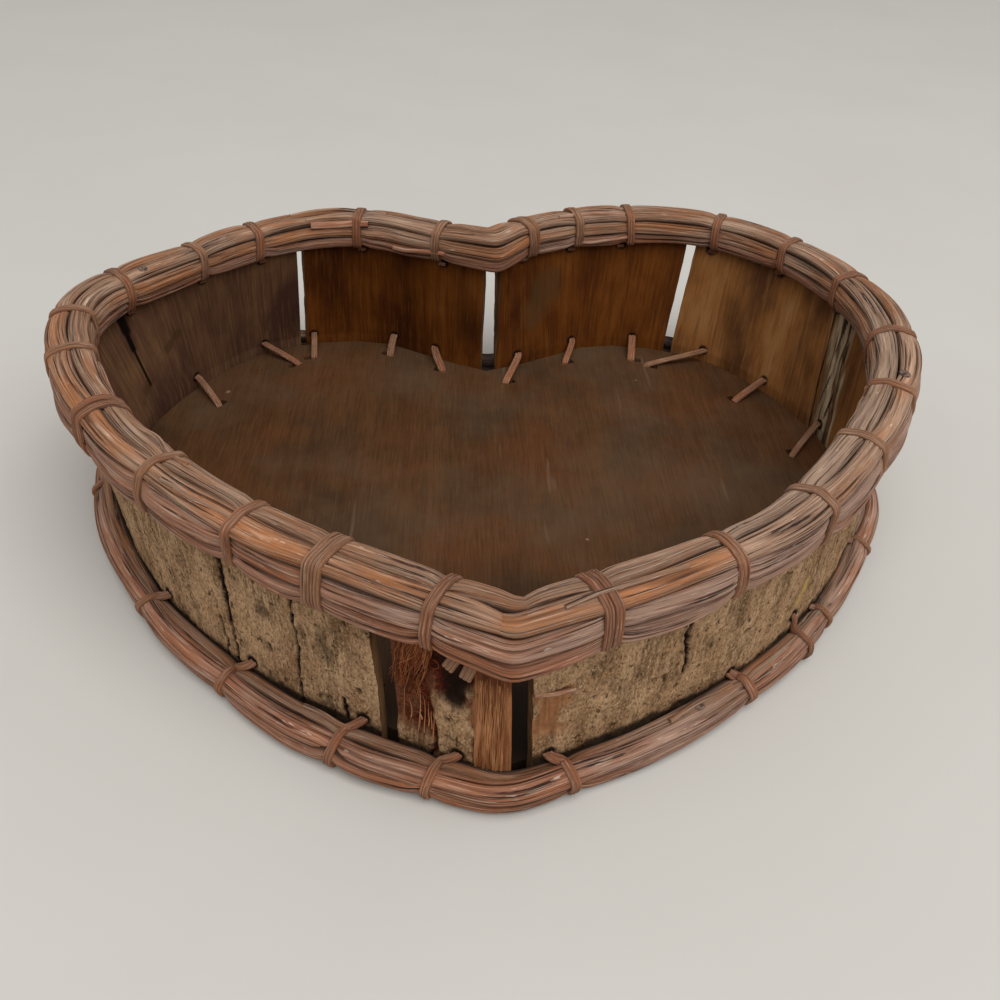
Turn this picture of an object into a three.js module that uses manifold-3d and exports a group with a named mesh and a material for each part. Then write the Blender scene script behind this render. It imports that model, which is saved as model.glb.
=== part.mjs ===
// Heart-shaped bark basket. Millimetres, +Z up, standing on the plane Z = 0.
// The tip of the heart points along -Y and the cleft lies on the +Y side.
// Seven bark panels stand round a sawn heart board. A bundle of split rods grips their upper edge,
// a thinner bundle runs round their foot, and flat cane ties sewn through holes hold it all together.

import * as THREE from 'three';
import { mergeVertices } from 'three/addons/utils/BufferGeometryUtils.js';
import Module from 'manifold-3d';

const wasm = await Module();
wasm.setup();

// Width and depth of the heart along the middle of the bark, at the rim

const HEART_WIDTH = 310;
const HEART_DEPTH = 274;

// Outlines in plan, from the cleft round a lobe to the tip, as shares of that width and depth

const BASE_SHARES = {
  cleft: [0, 0.409],
  lobeInside: [0.065, 0.442],
  lobeTop: [0.177, 0.507],
  shoulder: [0.342, 0.46],
  lobeSide: [0.458, 0.263],
  widest: [0.481, 0.109],
  flank: [0.452, -0.015],
  cheek: [0.352, -0.204],
  front: [0.235, -0.328],
  nose: [0.11, -0.412],
  tip: [0, -0.467],
};

// The rim was bent by hand, so its two halves differ and it leans out of the board's outline.
const RIM_RIGHT_SHARES = {
  cleft: [0.003, 0.401],
  lobeInside: [0.052, 0.46],
  lobeTop: [0.171, 0.515],
  shoulder: [0.339, 0.496],
  lobeSide: [0.445, 0.38],
  widest: [0.494, 0.201],
  flank: [0.474, 0.036],
  cheek: [0.423, -0.095],
  front: [0.271, -0.318],
  nose: [0.119, -0.423],
  tip: [0, -0.485],
};

const RIM_LEFT_SHARES = {
  cleft: [0.003, 0.401],
  lobeInside: [-0.071, 0.431],
  lobeTop: [-0.194, 0.482],
  shoulder: [-0.313, 0.431],
  lobeSide: [-0.439, 0.285],
  widest: [-0.506, 0.168],
  flank: [-0.494, 0.044],
  cheek: [-0.39, -0.175],
  front: [-0.226, -0.347],
  nose: [-0.11, -0.423],
  tip: [0, -0.485],
};

const STATIONS_PER_HALF = 26;

// Cane ties

const TIE_WIDTH = 4.4;
const TIE_THICKNESS = 1.2;
const TIE_CLEARANCE = 0.4;
const TIE_PASS_GAP = 0.7;
const TIE_TURN_PITCH = 5.4;
const TIE_SLANT = 1.4;
const TIE_TAIL = 9;
const HOLE_CLEARANCE = 0.5;
// A strand turns a corner in a few of its own thicknesses.
const RIM_BEND_THICKNESSES = 3;
const FOOT_BEND_THICKNESSES = 2;

// Bark, board and rods

const BARK_THICKNESS = 3.6;
const BOARD_THICKNESS = 6;
const BOARD_CLEARANCE = 0.4;
const ROD_CLEARANCE = 0.3;
const ROD_END_GAP = 1.5;
const RIM_UNDERSIDE = 59.5;
const RIM_ROD_WIDTH = 6.6;
const RIM_ROD_HEIGHT = 7.2;
const CAP_ROD_WIDTH = 7;
const CAP_ROD_HEIGHT = 3.6;
const BASE_ROD_WIDTH = 9;
const BASE_ROD_HEIGHT = 4.6;
const BASE_HOLE_RISE = 4.4;
// Board holes lie at one of three distances in from the board's edge.
const NEAR_INSET = 9;
const MIDDLE_INSET = 13;
const FAR_INSET = 17;

// A split rod's section is flat on its sawn side and rounded off towards the other.
const ROD_FLAT_SHARE = 0.62;
const ROD_CORNER_SHARE = 0.27;

// Where neighbouring bark panels part, as a share of the way from the cleft to the tip

const PANEL_GAPS = {
  cleft: { side: 'right', rimShare: 0, baseShare: 0, width: 6.2 },
  rightLobe: { side: 'right', rimShare: 0.2225, baseShare: 0.215, width: 4.2 },
  rightSide: { side: 'right', rimShare: 0.43, baseShare: 0.446, width: 2 },
  tip: { side: 'right', rimShare: 0.992, baseShare: 0.9865, width: 5.4 },
  leftFront: { side: 'left', rimShare: 0.906, baseShare: 0.914, width: 6 },
  leftSide: { side: 'left', rimShare: 0.414, baseShare: 0.414, width: 2 },
  leftLobe: { side: 'left', rimShare: 0.205, baseShare: 0.2125, width: 3 },
};

// Ties over the rim: their places as shares of the way from the cleft to the tip, and their turns

const RIM_TIES = {
  right: [
    { share: 0.042, turns: 2 },
    { share: 0.0975, turns: 1 },
    { share: 0.1525, turns: 1 },
    { share: 0.244, turns: 1 },
    { share: 0.3225, turns: 1 },
    { share: 0.405, turns: 1 },
    { share: 0.5125, turns: 1 },
    { share: 0.6025, turns: 1 },
    { share: 0.6875, turns: 1 },
    { share: 0.7725, turns: 1 },
    { share: 0.855, turns: 1 },
    { share: 0.944, turns: 2 },
  ],
  left: [
    { share: 0.05, turns: 1 },
    { share: 0.1375, turns: 1 },
    { share: 0.2475, turns: 1 },
    { share: 0.315, turns: 1 },
    { share: 0.398, turns: 1 },
    { share: 0.4725, turns: 1 },
    { share: 0.5425, turns: 1 },
    { share: 0.6375, turns: 2 },
    { share: 0.725, turns: 1 },
    { share: 0.81, turns: 1 },
    { share: 0.875, turns: 2 },
    { share: 0.952, turns: 1 },
  ],
};

// Ties round the foot: the bark hole, the board hole and how far that lies in from the board's edge

const BASE_TIES = {
  right: [
    { share: 0.0275, holeShare: 0.0175, inset: MIDDLE_INSET },
    { share: 0.0975, holeShare: 0.085, inset: NEAR_INSET },
    { share: 0.17, holeShare: 0.18, inset: MIDDLE_INSET },
    { share: 0.2525, holeShare: 0.205, inset: FAR_INSET },
    { share: 0.3425, holeShare: 0.3375, inset: FAR_INSET },
    { share: 0.426, holeShare: 0.46, inset: FAR_INSET },
    { share: 0.6075, holeShare: 0.6075, inset: MIDDLE_INSET },
    { share: 0.7075, holeShare: 0.7075, inset: MIDDLE_INSET },
    { share: 0.8125, holeShare: 0.8125, inset: MIDDLE_INSET },
    { share: 0.955, holeShare: 0.955, inset: MIDDLE_INSET },
  ],
  left: [
    { share: 0.0525, holeShare: 0.0425, inset: NEAR_INSET },
    { share: 0.1075, holeShare: 0.11, inset: NEAR_INSET },
    { share: 0.195, holeShare: 0.215, inset: MIDDLE_INSET },
    { share: 0.255, holeShare: 0.242, inset: FAR_INSET },
    { share: 0.355, holeShare: 0.3675, inset: FAR_INSET },
    { share: 0.535, holeShare: 0.535, inset: MIDDLE_INSET },
    { share: 0.6925, holeShare: 0.6925, inset: MIDDLE_INSET },
    { share: 0.7975, holeShare: 0.7975, inset: MIDDLE_INSET },
    { share: 0.885, holeShare: 0.885, inset: MIDDLE_INSET },
    { share: 0.952, holeShare: 0.952, inset: MIDDLE_INSET },
  ],
};

// Heights and reaches that follow from the sizes above

const halfBark = BARK_THICKNESS / 2;
const halfTie = TIE_THICKNESS / 2;
const footZ = TIE_THICKNESS + TIE_CLEARANCE;
const boardTop = footZ + BOARD_THICKNESS;
const baseTop = footZ + 2 * BASE_ROD_HEIGHT + ROD_CLEARANCE;
const baseHoleZ = baseTop + BASE_HOLE_RISE;
const barkTop = RIM_UNDERSIDE + 2 * RIM_ROD_HEIGHT + ROD_CLEARANCE;
const capBottom = barkTop + ROD_CLEARANCE;
const capTop = capBottom + CAP_ROD_HEIGHT;
const rodFace = halfBark + ROD_CLEARANCE;
const rimReach = Math.max(rodFace + RIM_ROD_WIDTH, ROD_CLEARANCE / 2 + CAP_ROD_WIDTH);
const baseReach = rodFace + BASE_ROD_WIDTH;
const rimTieLow = RIM_UNDERSIDE - TIE_CLEARANCE - halfTie;
const rimHoleZ = rimTieLow - TIE_THICKNESS - TIE_PASS_GAP;
const holeHeight = TIE_THICKNESS + 2 * HOLE_CLEARANCE;
const holeWidth = TIE_WIDTH + 2 * HOLE_CLEARANCE;
// The bark stands upright where rods and ties grip it, and leans from base to rim between.
const leanStart = baseHoleZ + 2 * holeHeight;
const leanEnd = rimHoleZ - 2 * holeHeight;

const UP = new THREE.Vector3(0, 0, 1);

// A closed plan outline as a ring of stations, numbered clockwise from the cleft.
class Outline {
  constructor(right, left) {
    const rightPoints = Outline.spaced(right);
    const leftPoints = Outline.spaced(left).reverse();
    this.points = [...rightPoints.slice(0, -1), ...leftPoints.slice(0, -1)];
    this.count = this.points.length;
    this.mitres = this.points.map((point, index) => {
      const before = this.normal(index - 1);
      const after = this.normal(index);
      return before.clone().add(after).divideScalar(1 + before.dot(after));
    });
  }

  static spaced(shares) {
    const knots = Object.values(shares).map(([across, back]) => (
      new THREE.Vector3(across * HEART_WIDTH, back * HEART_DEPTH, 0)
    ));
    const curve = new THREE.CatmullRomCurve3(knots, false, 'centripetal');
    return curve.getSpacedPoints(STATIONS_PER_HALF);
  }

  wrap(index) {
    return ((index % this.count) + this.count) % this.count;
  }

  edge(index) {
    return this.points[this.wrap(index + 1)].clone().sub(this.points[this.wrap(index)]);
  }

  normal(index) {
    return UP.clone().cross(this.edge(index)).normalize();
  }

  corner(index, offset) {
    const place = this.wrap(index);
    return this.points[place].clone().addScaledVector(this.mitres[place], offset);
  }

  // The point at a station, moved outwards by an offset and up to a height
  at(station, offset, height) {
    const index = Math.floor(station);
    const point = this.corner(index, offset).lerp(this.corner(index + 1, offset), station - index);
    return point.setZ(height);
  }

  // Axes for a piece that crosses the wall at a station
  frame(station) {
    const outward = this.normal(Math.floor(station));
    return { origin: this.at(station, 0, 0), outward, along: UP.clone().cross(outward) };
  }

  // Length of one station's edge, to turn millimetres into stations
  pace(station) {
    return this.edge(Math.floor(station)).length();
  }

  // How far a face at an offset reaches, seen by a piece of that width that crosses the wall
  reach(station, offset, width) {
    const { origin, outward, along } = this.frame(station);
    const half = width / 2;
    const reaches = [];
    for (const near of [-1, 0, 1]) {
      const [from, to] = [0, 1].map((end) => {
        const point = this.corner(Math.floor(station) + near + end, offset).sub(origin);
        return { along: point.dot(along), out: point.dot(outward) * Math.sign(offset) };
      });
      for (const place of [from.along, to.along, -half, half]) {
        const share = (place - from.along) / (to.along - from.along);
        const inside = Math.abs(place) <= half && share >= 0 && share <= 1;
        if (inside) reaches.push(THREE.MathUtils.lerp(from.out, to.out, share));
      }
    }
    return Math.max(...reaches);
  }
}

const mirrored = Object.fromEntries(
  Object.entries(BASE_SHARES).map(([name, [across, back]]) => [name, [-across, back]]),
);
const base = new Outline(BASE_SHARES, mirrored);
const rim = new Outline(RIM_RIGHT_SHARES, RIM_LEFT_SHARES);

function stationOf(side, share) {
  return side === 'right' ? share * STATIONS_PER_HALF : (2 - share) * STATIONS_PER_HALF;
}

// A route hands an extrusion its own points and axes: section x runs along normals, y along binormals.
class Route extends THREE.Curve {
  constructor(points, normals, binormals) {
    super();
    this.points = points;
    this.axes = { tangents: points, normals, binormals };
  }

  getSpacedPoints() {
    return this.points;
  }

  computeFrenetFrames() {
    return this.axes;
  }
}

function extrudeAlong(section, route) {
  const shape = new THREE.Shape(section.map(([x, y]) => new THREE.Vector2(x, y)));
  return new THREE.ExtrudeGeometry(shape, { steps: route.points.length - 1, extrudePath: route });
}

// Joins and cuts

function toSolid(geometry) {
  const bare = geometry.clone();
  bare.deleteAttribute('normal');
  bare.deleteAttribute('uv');
  const merged = mergeVertices(bare);
  const vertProperties = Float32Array.from(merged.attributes.position.array);
  const triVerts = Uint32Array.from(merged.index.array);
  return new wasm.Manifold(new wasm.Mesh({ numProp: 3, vertProperties, triVerts }));
}

function cutAll(geometry, cutters) {
  const cut = cutters.reduce((body, cutter) => body.subtract(toSolid(cutter)), toSolid(geometry));
  const mesh = cut.getMesh();
  const result = new THREE.BufferGeometry();
  result.setAttribute('position', new THREE.BufferAttribute(mesh.vertProperties, mesh.numProp));
  result.setIndex(new THREE.BufferAttribute(mesh.triVerts, 1));
  result.computeVertexNormals();
  return result;
}

// Split rods: half-round sections swept round an outline, open where their two ends butt

function sideRodSection(width, bottom, height, sign) {
  const face = sign * rodFace;
  const shoulder = sign * (rodFace + width * ROD_FLAT_SHARE);
  const outside = sign * (rodFace + width);
  const corner = height * ROD_CORNER_SHARE;
  const top = bottom + height;
  return [
    [face, bottom],
    [shoulder, bottom],
    [outside, bottom + corner],
    [outside, top - corner],
    [shoulder, top],
    [face, top],
  ];
}

function capRodSection(sign) {
  const seam = sign * ROD_CLEARANCE / 2;
  const edge = seam + sign * CAP_ROD_WIDTH;
  const round = sign * CAP_ROD_WIDTH * ROD_CORNER_SHARE;
  const corner = CAP_ROD_HEIGHT * ROD_CORNER_SHARE;
  return [
    [seam, capBottom],
    [edge, capBottom],
    [edge, capBottom + corner],
    [edge - round, capTop],
    [seam + round / 2, capTop],
    [seam, capTop - corner],
  ];
}

function rodGeometry(outline, section, joint) {
  const endGap = ROD_END_GAP / outline.pace(joint);
  const first = Math.ceil(joint + endGap);
  const middle = Array.from({ length: outline.count }, (unused, index) => first + index);
  const stations = [joint + endGap / 2, ...middle, joint + outline.count - endGap / 2];
  const points = stations.map((station) => outline.at(station, 0, 0));
  const normals = stations.map((station) => outline.at(station, 1, 0).sub(outline.at(station, 0, 0)));
  return extrudeAlong(section, new Route(points, normals, points.map(() => UP)));
}

// Bark: a slab bent round the wall, leaning from the base outline to the rim outline

function leanAt(height) {
  return THREE.MathUtils.clamp((height - leanStart) / (leanEnd - leanStart), 0, 1);
}

function wallAt(station, offset, height) {
  return base.at(station, offset, height).lerp(rim.at(station, offset, height), leanAt(height));
}

function panelEnd(gap, direction) {
  const shift = (outline, share) => {
    const station = stationOf(gap.side, share);
    return station + direction * gap.width / 2 / outline.pace(station);
  };
  return { base: shift(base, gap.baseShare), rim: shift(rim, gap.rimShare) };
}

// A hole for one pass of a tie, in the frame of that tie
function holeBox(frame, height, shift) {
  const box = new THREE.BoxGeometry(4 * BARK_THICKNESS, holeWidth, holeHeight);
  const centre = frame.origin.clone().addScaledVector(frame.along, shift).setZ(height);
  const axes = new THREE.Matrix4().makeBasis(frame.outward, frame.along, UP);
  return box.applyMatrix4(axes.setPosition(centre));
}

// A panel's end column keeps this share of a station clear of the next one.
const PANEL_EDGE_MARGIN = 0.02;

function barkGeometry(start, end, holes) {
  const first = Math.floor(Math.max(start.base, start.rim) + PANEL_EDGE_MARGIN) + 1;
  const last = Math.ceil(Math.min(end.base, end.rim) - PANEL_EDGE_MARGIN) - 1;
  const columns = last - first + 2;
  const levels = [footZ, leanStart, leanEnd, barkTop];
  const rows = levels.length - 1;
  const slab = new THREE.BoxGeometry(columns, BARK_THICKNESS, rows, columns, 1, rows);
  const position = slab.attributes.position;
  for (let index = 0; index < position.count; index += 1) {
    const column = Math.round(position.getX(index) + columns / 2);
    const height = levels[Math.round(position.getZ(index) + rows / 2)];
    const lean = leanAt(height);
    let station = first + column - 1;
    if (column === 0) station = THREE.MathUtils.lerp(start.base, start.rim, lean);
    if (column === columns) station = THREE.MathUtils.lerp(end.base, end.rim, lean);
    const point = wallAt(station, position.getY(index), height);
    position.setXYZ(index, point.x, point.y, point.z);
  }
  return cutAll(slab, holes);
}

// Board: the base outline drawn in to clear the bark, with a slot for each foot tie

function slotPath(centre, outward, along) {
  const halfWide = holeWidth / 2;
  const halfDeep = holeHeight / 2 + HOLE_CLEARANCE;
  const corners = [[1, 1], [1, -1], [-1, -1], [-1, 1]].map(([deep, wide]) => {
    const point = centre.clone().addScaledVector(outward, deep * halfDeep);
    point.addScaledVector(along, wide * halfWide);
    return new THREE.Vector2(point.x, point.y);
  });
  return new THREE.Path(corners);
}

function boardGeometry(ties) {
  const edge = -(halfBark + BOARD_CLEARANCE);
  const corners = base.points.map((point, index) => base.corner(index, edge)).reverse();
  const shape = new THREE.Shape(corners.map((point) => new THREE.Vector2(point.x, point.y)));
  shape.holes = ties.map((tie) => {
    const { outward, along } = base.frame(tie.holeStation);
    return slotPath(tie.holeCentre, outward, along);
  });
  const board = new THREE.ExtrudeGeometry(shape, { depth: BOARD_THICKNESS, bevelEnabled: false });
  return board.translate(0, 0, footZ);
}

// Ties: flat strands swept through a list of points, each with the direction of the strand's width

const STRAND_SECTION = [
  [-halfTie, -TIE_WIDTH / 2],
  [halfTie, -TIE_WIDTH / 2],
  [halfTie, TIE_WIDTH / 2],
  [-halfTie, TIE_WIDTH / 2],
];

function strandRoute(stops) {
  const points = stops.map((stop) => stop.point);
  const steps = points.slice(1).map((point, index) => point.clone().sub(points[index]).normalize());
  const normals = [];
  const binormals = [];
  points.forEach((point, index) => {
    const before = steps[Math.max(index - 1, 0)];
    const after = steps[Math.min(index, steps.length - 1)];
    const tangent = before.clone().add(after).normalize();
    const across = stops[index].across.clone();
    const binormal = across.addScaledVector(tangent, -across.dot(tangent)).normalize();
    const normal = binormal.clone().cross(tangent);
    const bend = after.clone().sub(before);
    const stretch = 1 / tangent.dot(after) - 1;
    if (bend.lengthSq() > 0) bend.normalize();
    normals.push(normal.addScaledVector(bend, stretch * normal.dot(bend)));
    binormals.push(binormal.addScaledVector(bend, stretch * binormal.dot(bend)));
  });
  return new Route(points, normals, binormals);
}

// A stop in a wall frame: so far out, so high, so far along the wall
function stopIn(frame, out, height, shift) {
  const point = frame.origin.clone().addScaledVector(frame.outward, out);
  point.addScaledVector(frame.along, shift).setZ(height);
  return { point, across: frame.along };
}

function rimTie(side, { share, turns }) {
  const station = stationOf(side, share);
  const frame = rim.frame(station);
  const spread = turns * TIE_TURN_PITCH + TIE_SLANT;
  const gap = TIE_CLEARANCE + halfTie;
  const outer = rim.reach(station, rimReach, spread) + gap;
  const inner = rim.reach(station, -rimReach, spread) + gap;
  const over = capTop + gap;
  const bend = RIM_BEND_THICKNESSES * TIE_THICKNESS;
  const middle = (turn) => (turn - (turns - 1) / 2) * TIE_TURN_PITCH;
  const stops = [];
  const holes = [];
  for (let turn = 0; turn < turns; turn += 1) {
    const rise = middle(turn) - TIE_SLANT / 2;
    const fall = middle(turn) + TIE_SLANT / 2;
    if (turn === 0) {
      stops.push(stopIn(frame, -(halfBark + TIE_THICKNESS), rimTieLow, rise));
      stops.push(stopIn(frame, -(inner - bend / 2), rimTieLow, rise));
    }
    stops.push(stopIn(frame, -inner, rimTieLow + bend / 2, rise));
    stops.push(stopIn(frame, -inner, capBottom, rise));
    stops.push(stopIn(frame, -(inner - bend / 2), over - halfTie, rise));
    stops.push(stopIn(frame, -(inner - bend), over, rise));
    stops.push(stopIn(frame, outer - bend, over, fall));
    stops.push(stopIn(frame, outer - bend / 2, over - halfTie, fall));
    stops.push(stopIn(frame, outer, capBottom, fall));
    stops.push(stopIn(frame, outer, rimTieLow + bend / 2, fall));
    stops.push(stopIn(frame, halfBark + bend, rimHoleZ, fall));
    stops.push(stopIn(frame, -(halfBark + bend / 2), rimHoleZ, fall));
    holes.push(holeBox(frame, rimHoleZ, fall));
  }
  const last = middle(turns - 1) + TIE_SLANT / 2;
  stops.push(stopIn(frame, -(halfBark + bend), rimHoleZ - bend / 2, last));
  stops.push(stopIn(frame, -(halfBark + bend), rimHoleZ - TIE_TAIL, last));
  return { stops, holes, station };
}

function baseTie(side, { share, holeShare, inset }) {
  const station = stationOf(side, share);
  const holeStation = stationOf(side, holeShare);
  const frame = base.frame(station);
  const holeFrame = base.frame(holeStation);
  const holeCentre = base.at(holeStation, -(halfBark + BOARD_CLEARANCE + inset), 0);
  const gap = TIE_CLEARANCE + halfTie;
  const outer = base.reach(station, baseReach, TIE_WIDTH) + gap;
  const bend = FOOT_BEND_THICKNESSES * TIE_THICKNESS;
  const shoulder = rodFace + BASE_ROD_WIDTH * ROD_FLAT_SHARE;
  const corner = BASE_ROD_HEIGHT * ROD_CORNER_SHARE;
  const inside = stopIn(frame, -(halfBark + bend), baseHoleZ, 0);
  const heading = inside.point.clone().sub(holeCentre).setZ(0).normalize();
  const slanted = UP.clone().cross(heading);
  const atHole = (out, height, across = holeFrame.along) => {
    const point = holeCentre.clone().addScaledVector(holeFrame.outward, out).setZ(height);
    return { point, across };
  };
  const pastHole = (way, height) => {
    const point = holeCentre.clone().addScaledVector(heading, way).setZ(height);
    return { point, across: slanted };
  };
  const stops = [
    atHole(-3 * bend, halfTie),
    atHole(-bend / 2, halfTie),
    atHole(0, halfTie + bend / 2),
    atHole(0, boardTop),
    pastHole(bend / 2, boardTop + bend / 2),
    { point: inside.point, across: slanted },
    stopIn(frame, halfBark + halfTie, baseHoleZ, 0),
    stopIn(frame, shoulder, baseTop + gap + halfTie, 0),
    stopIn(frame, outer - halfTie, baseTop - corner + bend / 2, 0),
    stopIn(frame, outer, baseTop - corner, 0),
    stopIn(frame, outer, footZ + corner, 0),
    stopIn(frame, outer - bend / 2, gap + halfTie / 2, 0),
    stopIn(frame, shoulder, halfTie, 0),
    stopIn(frame, -(halfBark + bend), halfTie, 0),
    pastHole(bend + halfTie, halfTie),
  ];
  return { stops, holes: [holeBox(frame, baseHoleZ, 0)], station, holeStation, holeCentre };
}

// The least gap between stretches of one strand that lie apart along it, measured on its surface

const SURFACE_STEPS = 4;
const APART = 3 * TIE_WIDTH;

function leastGap(route) {
  const { normals, binormals } = route.axes;
  const samples = [];
  let way = 0;
  for (let index = 0; index + 1 < route.points.length; index += 1) {
    const span = route.points[index + 1].distanceTo(route.points[index]);
    for (let step = 0; step < SURFACE_STEPS; step += 1) {
      const share = step / SURFACE_STEPS;
      for (const [thick, wide] of STRAND_SECTION) {
        const from = route.points[index].clone().addScaledVector(normals[index], thick);
        from.addScaledVector(binormals[index], wide);
        const to = route.points[index + 1].clone().addScaledVector(normals[index + 1], thick);
        to.addScaledVector(binormals[index + 1], wide);
        samples.push({ point: from.lerp(to, share), way: way + span * share });
      }
    }
    way += span;
  }
  let least = Infinity;
  samples.forEach((one, index) => {
    for (const other of samples.slice(index + 1)) {
      if (other.way - one.way > APART) least = Math.min(least, one.point.distanceTo(other.point));
    }
  });
  return least;
}

// Materials

const finish = (color, roughness) => new THREE.MeshStandardMaterial({ color, roughness, metalness: 0 });
const BARK_FINISH = finish(0x6d5a44, 0.95);
const BOARD_FINISH = finish(0x3f2b1d, 0.75);
const ROD_FINISH = finish(0x7c5646, 0.7);
const TIE_FINISH = finish(0x7d4c34, 0.65);

// Assembly

const basket = new THREE.Group();

function addPiece(name, geometry, material) {
  const mesh = new THREE.Mesh(geometry, material);
  mesh.name = name;
  basket.add(mesh);
}

const rimTies = Object.entries(RIM_TIES).flatMap(([side, list]) => (
  list.map((tie, index) => ({ name: `rim_tie_${side}_${index + 1}`, ...rimTie(side, tie) }))
));
const baseTies = Object.entries(BASE_TIES).flatMap(([side, list]) => (
  list.map((tie, index) => ({ name: `foot_tie_${side}_${index + 1}`, ...baseTie(side, tie) }))
));

addPiece('heart_board', boardGeometry(baseTies), BOARD_FINISH);

// Panels in clockwise order, each between two gaps
const PANELS = {
  bark_panel_back_right: ['cleft', 'rightLobe'],
  bark_panel_right_back: ['rightLobe', 'rightSide'],
  bark_panel_right_front: ['rightSide', 'tip'],
  bark_panel_tip: ['tip', 'leftFront'],
  bark_panel_left_front: ['leftFront', 'leftSide'],
  bark_panel_left_back: ['leftSide', 'leftLobe'],
  bark_panel_back_left: ['leftLobe', 'cleft'],
};

const fullTurn = 2 * STATIONS_PER_HALF;
for (const [name, [from, to]] of Object.entries(PANELS)) {
  const start = panelEnd(PANEL_GAPS[from], 1);
  const end = panelEnd(PANEL_GAPS[to], -1);
  if (to === 'cleft') {
    end.base += fullTurn;
    end.rim += fullTurn;
  }
  const holes = [...rimTies, ...baseTies]
    .filter((tie) => tie.station > start.base - 1 && tie.station < end.base + 1)
    .flatMap((tie) => tie.holes);
  addPiece(name, barkGeometry(start, end, holes), BARK_FINISH);
}

// Rods, each with the place where its two ends butt, as a share of the way from the cleft to the tip
const lowerRim = RIM_UNDERSIDE;
const upperRim = RIM_UNDERSIDE + RIM_ROD_HEIGHT + ROD_CLEARANCE;
const upperBase = footZ + BASE_ROD_HEIGHT + ROD_CLEARANCE;
const rimSide = (bottom, sign) => sideRodSection(RIM_ROD_WIDTH, bottom, RIM_ROD_HEIGHT, sign);
const baseSide = (bottom) => sideRodSection(BASE_ROD_WIDTH, bottom, BASE_ROD_HEIGHT, 1);

const RODS = {
  rim_rod_outer_lower: { outline: rim, section: rimSide(lowerRim, 1), side: 'right', jointShare: 0.37 },
  rim_rod_outer_upper: { outline: rim, section: rimSide(upperRim, 1), side: 'left', jointShare: 0.77 },
  rim_rod_inner_lower: { outline: rim, section: rimSide(lowerRim, -1), side: 'left', jointShare: 0.35 },
  rim_rod_inner_upper: { outline: rim, section: rimSide(upperRim, -1), side: 'right', jointShare: 0.2 },
  rim_rod_cap_outer: { outline: rim, section: capRodSection(1), side: 'left', jointShare: 0.19 },
  rim_rod_cap_inner: { outline: rim, section: capRodSection(-1), side: 'right', jointShare: 0.13 },
  foot_rod_lower: { outline: base, section: baseSide(footZ), side: 'right', jointShare: 0.5 },
  foot_rod_upper: { outline: base, section: baseSide(upperBase), side: 'left', jointShare: 0.45 },
};

for (const [name, { outline, section, side, jointShare }] of Object.entries(RODS)) {
  addPiece(name, rodGeometry(outline, section, stationOf(side, jointShare)), ROD_FINISH);
}

let strandGap = Infinity;
for (const tie of [...rimTies, ...baseTies]) {
  const route = strandRoute(tie.stops);
  strandGap = Math.min(strandGap, leastGap(route));
  addPiece(tie.name, extrudeAlong(STRAND_SECTION, route), TIE_FINISH);
}
console.log(`least gap of a tie to itself: ${strandGap.toFixed(2)} mm`);

// The basket stands with the middle of its footprint over the origin.
const footprint = new THREE.Box3().setFromObject(basket).getCenter(new THREE.Vector3());
basket.position.set(-footprint.x, -footprint.y, 0);

export default basket;
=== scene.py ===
# %% [markdown]
# # A heart-shaped bark basket
# The basket is a sawn heart of wood with pieces of bark standing round it. Bundles of split rods grip the
# bark at the rim and at the foot, and flat cane is sewn round the bundles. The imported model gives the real
# sizes and places, so this lesson dresses it: every bundle, tie and piece of bark is built over its solid.

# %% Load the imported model
import itertools
import math

import bpy
import numpy as np
from mathutils import Matrix, Vector


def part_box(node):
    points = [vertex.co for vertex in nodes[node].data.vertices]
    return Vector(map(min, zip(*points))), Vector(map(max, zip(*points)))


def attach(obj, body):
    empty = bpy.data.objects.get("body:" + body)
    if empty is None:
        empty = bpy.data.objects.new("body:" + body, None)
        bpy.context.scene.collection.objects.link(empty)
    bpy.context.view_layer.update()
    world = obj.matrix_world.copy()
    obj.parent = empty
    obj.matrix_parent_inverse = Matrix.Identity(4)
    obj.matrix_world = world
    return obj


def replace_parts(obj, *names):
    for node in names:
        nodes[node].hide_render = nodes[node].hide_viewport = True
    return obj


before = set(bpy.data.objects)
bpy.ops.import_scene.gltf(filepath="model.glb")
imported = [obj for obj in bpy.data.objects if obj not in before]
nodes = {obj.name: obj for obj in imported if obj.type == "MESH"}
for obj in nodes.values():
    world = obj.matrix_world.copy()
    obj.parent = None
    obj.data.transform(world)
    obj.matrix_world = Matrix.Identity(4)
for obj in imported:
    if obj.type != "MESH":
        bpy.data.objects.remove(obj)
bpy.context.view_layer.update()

MM = 0.001
bpy.context.scene.view_settings.view_transform = "Standard"

# %% [markdown]
# ## Camera
# The view looks down over the tip of the heart. The place, the direction and the lens were found by fitting
# the rim and the foot of the basket to the picture. A camera can also be aimed with a constraint, but a
# slight roll is part of this view, so the three directions are worked out from the three angles.

# %% Set up the camera
CAMERA_PLACE = Vector((-13.5, -338.7, 261.4)) * MM
CAMERA_DIP = math.radians(36.6)
CAMERA_HEADING = math.radians(3.26)
CAMERA_ROLL = math.radians(2.59)
FOCAL_PIXELS = 1072
IMAGE_PIXELS = 1000
SENSOR_WIDTH = 36
NEAREST_VIEW = 0.01


def camera_axes():
    level = Vector((math.cos(CAMERA_HEADING), -math.sin(CAMERA_HEADING), 0))
    ahead = Vector((math.sin(CAMERA_HEADING), math.cos(CAMERA_HEADING), 0)) * math.cos(CAMERA_DIP)
    ahead.z = -math.sin(CAMERA_DIP)
    upright = level.cross(ahead)
    right = level * math.cos(CAMERA_ROLL) + upright * math.sin(CAMERA_ROLL)
    return right, right.cross(ahead), -ahead


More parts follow.
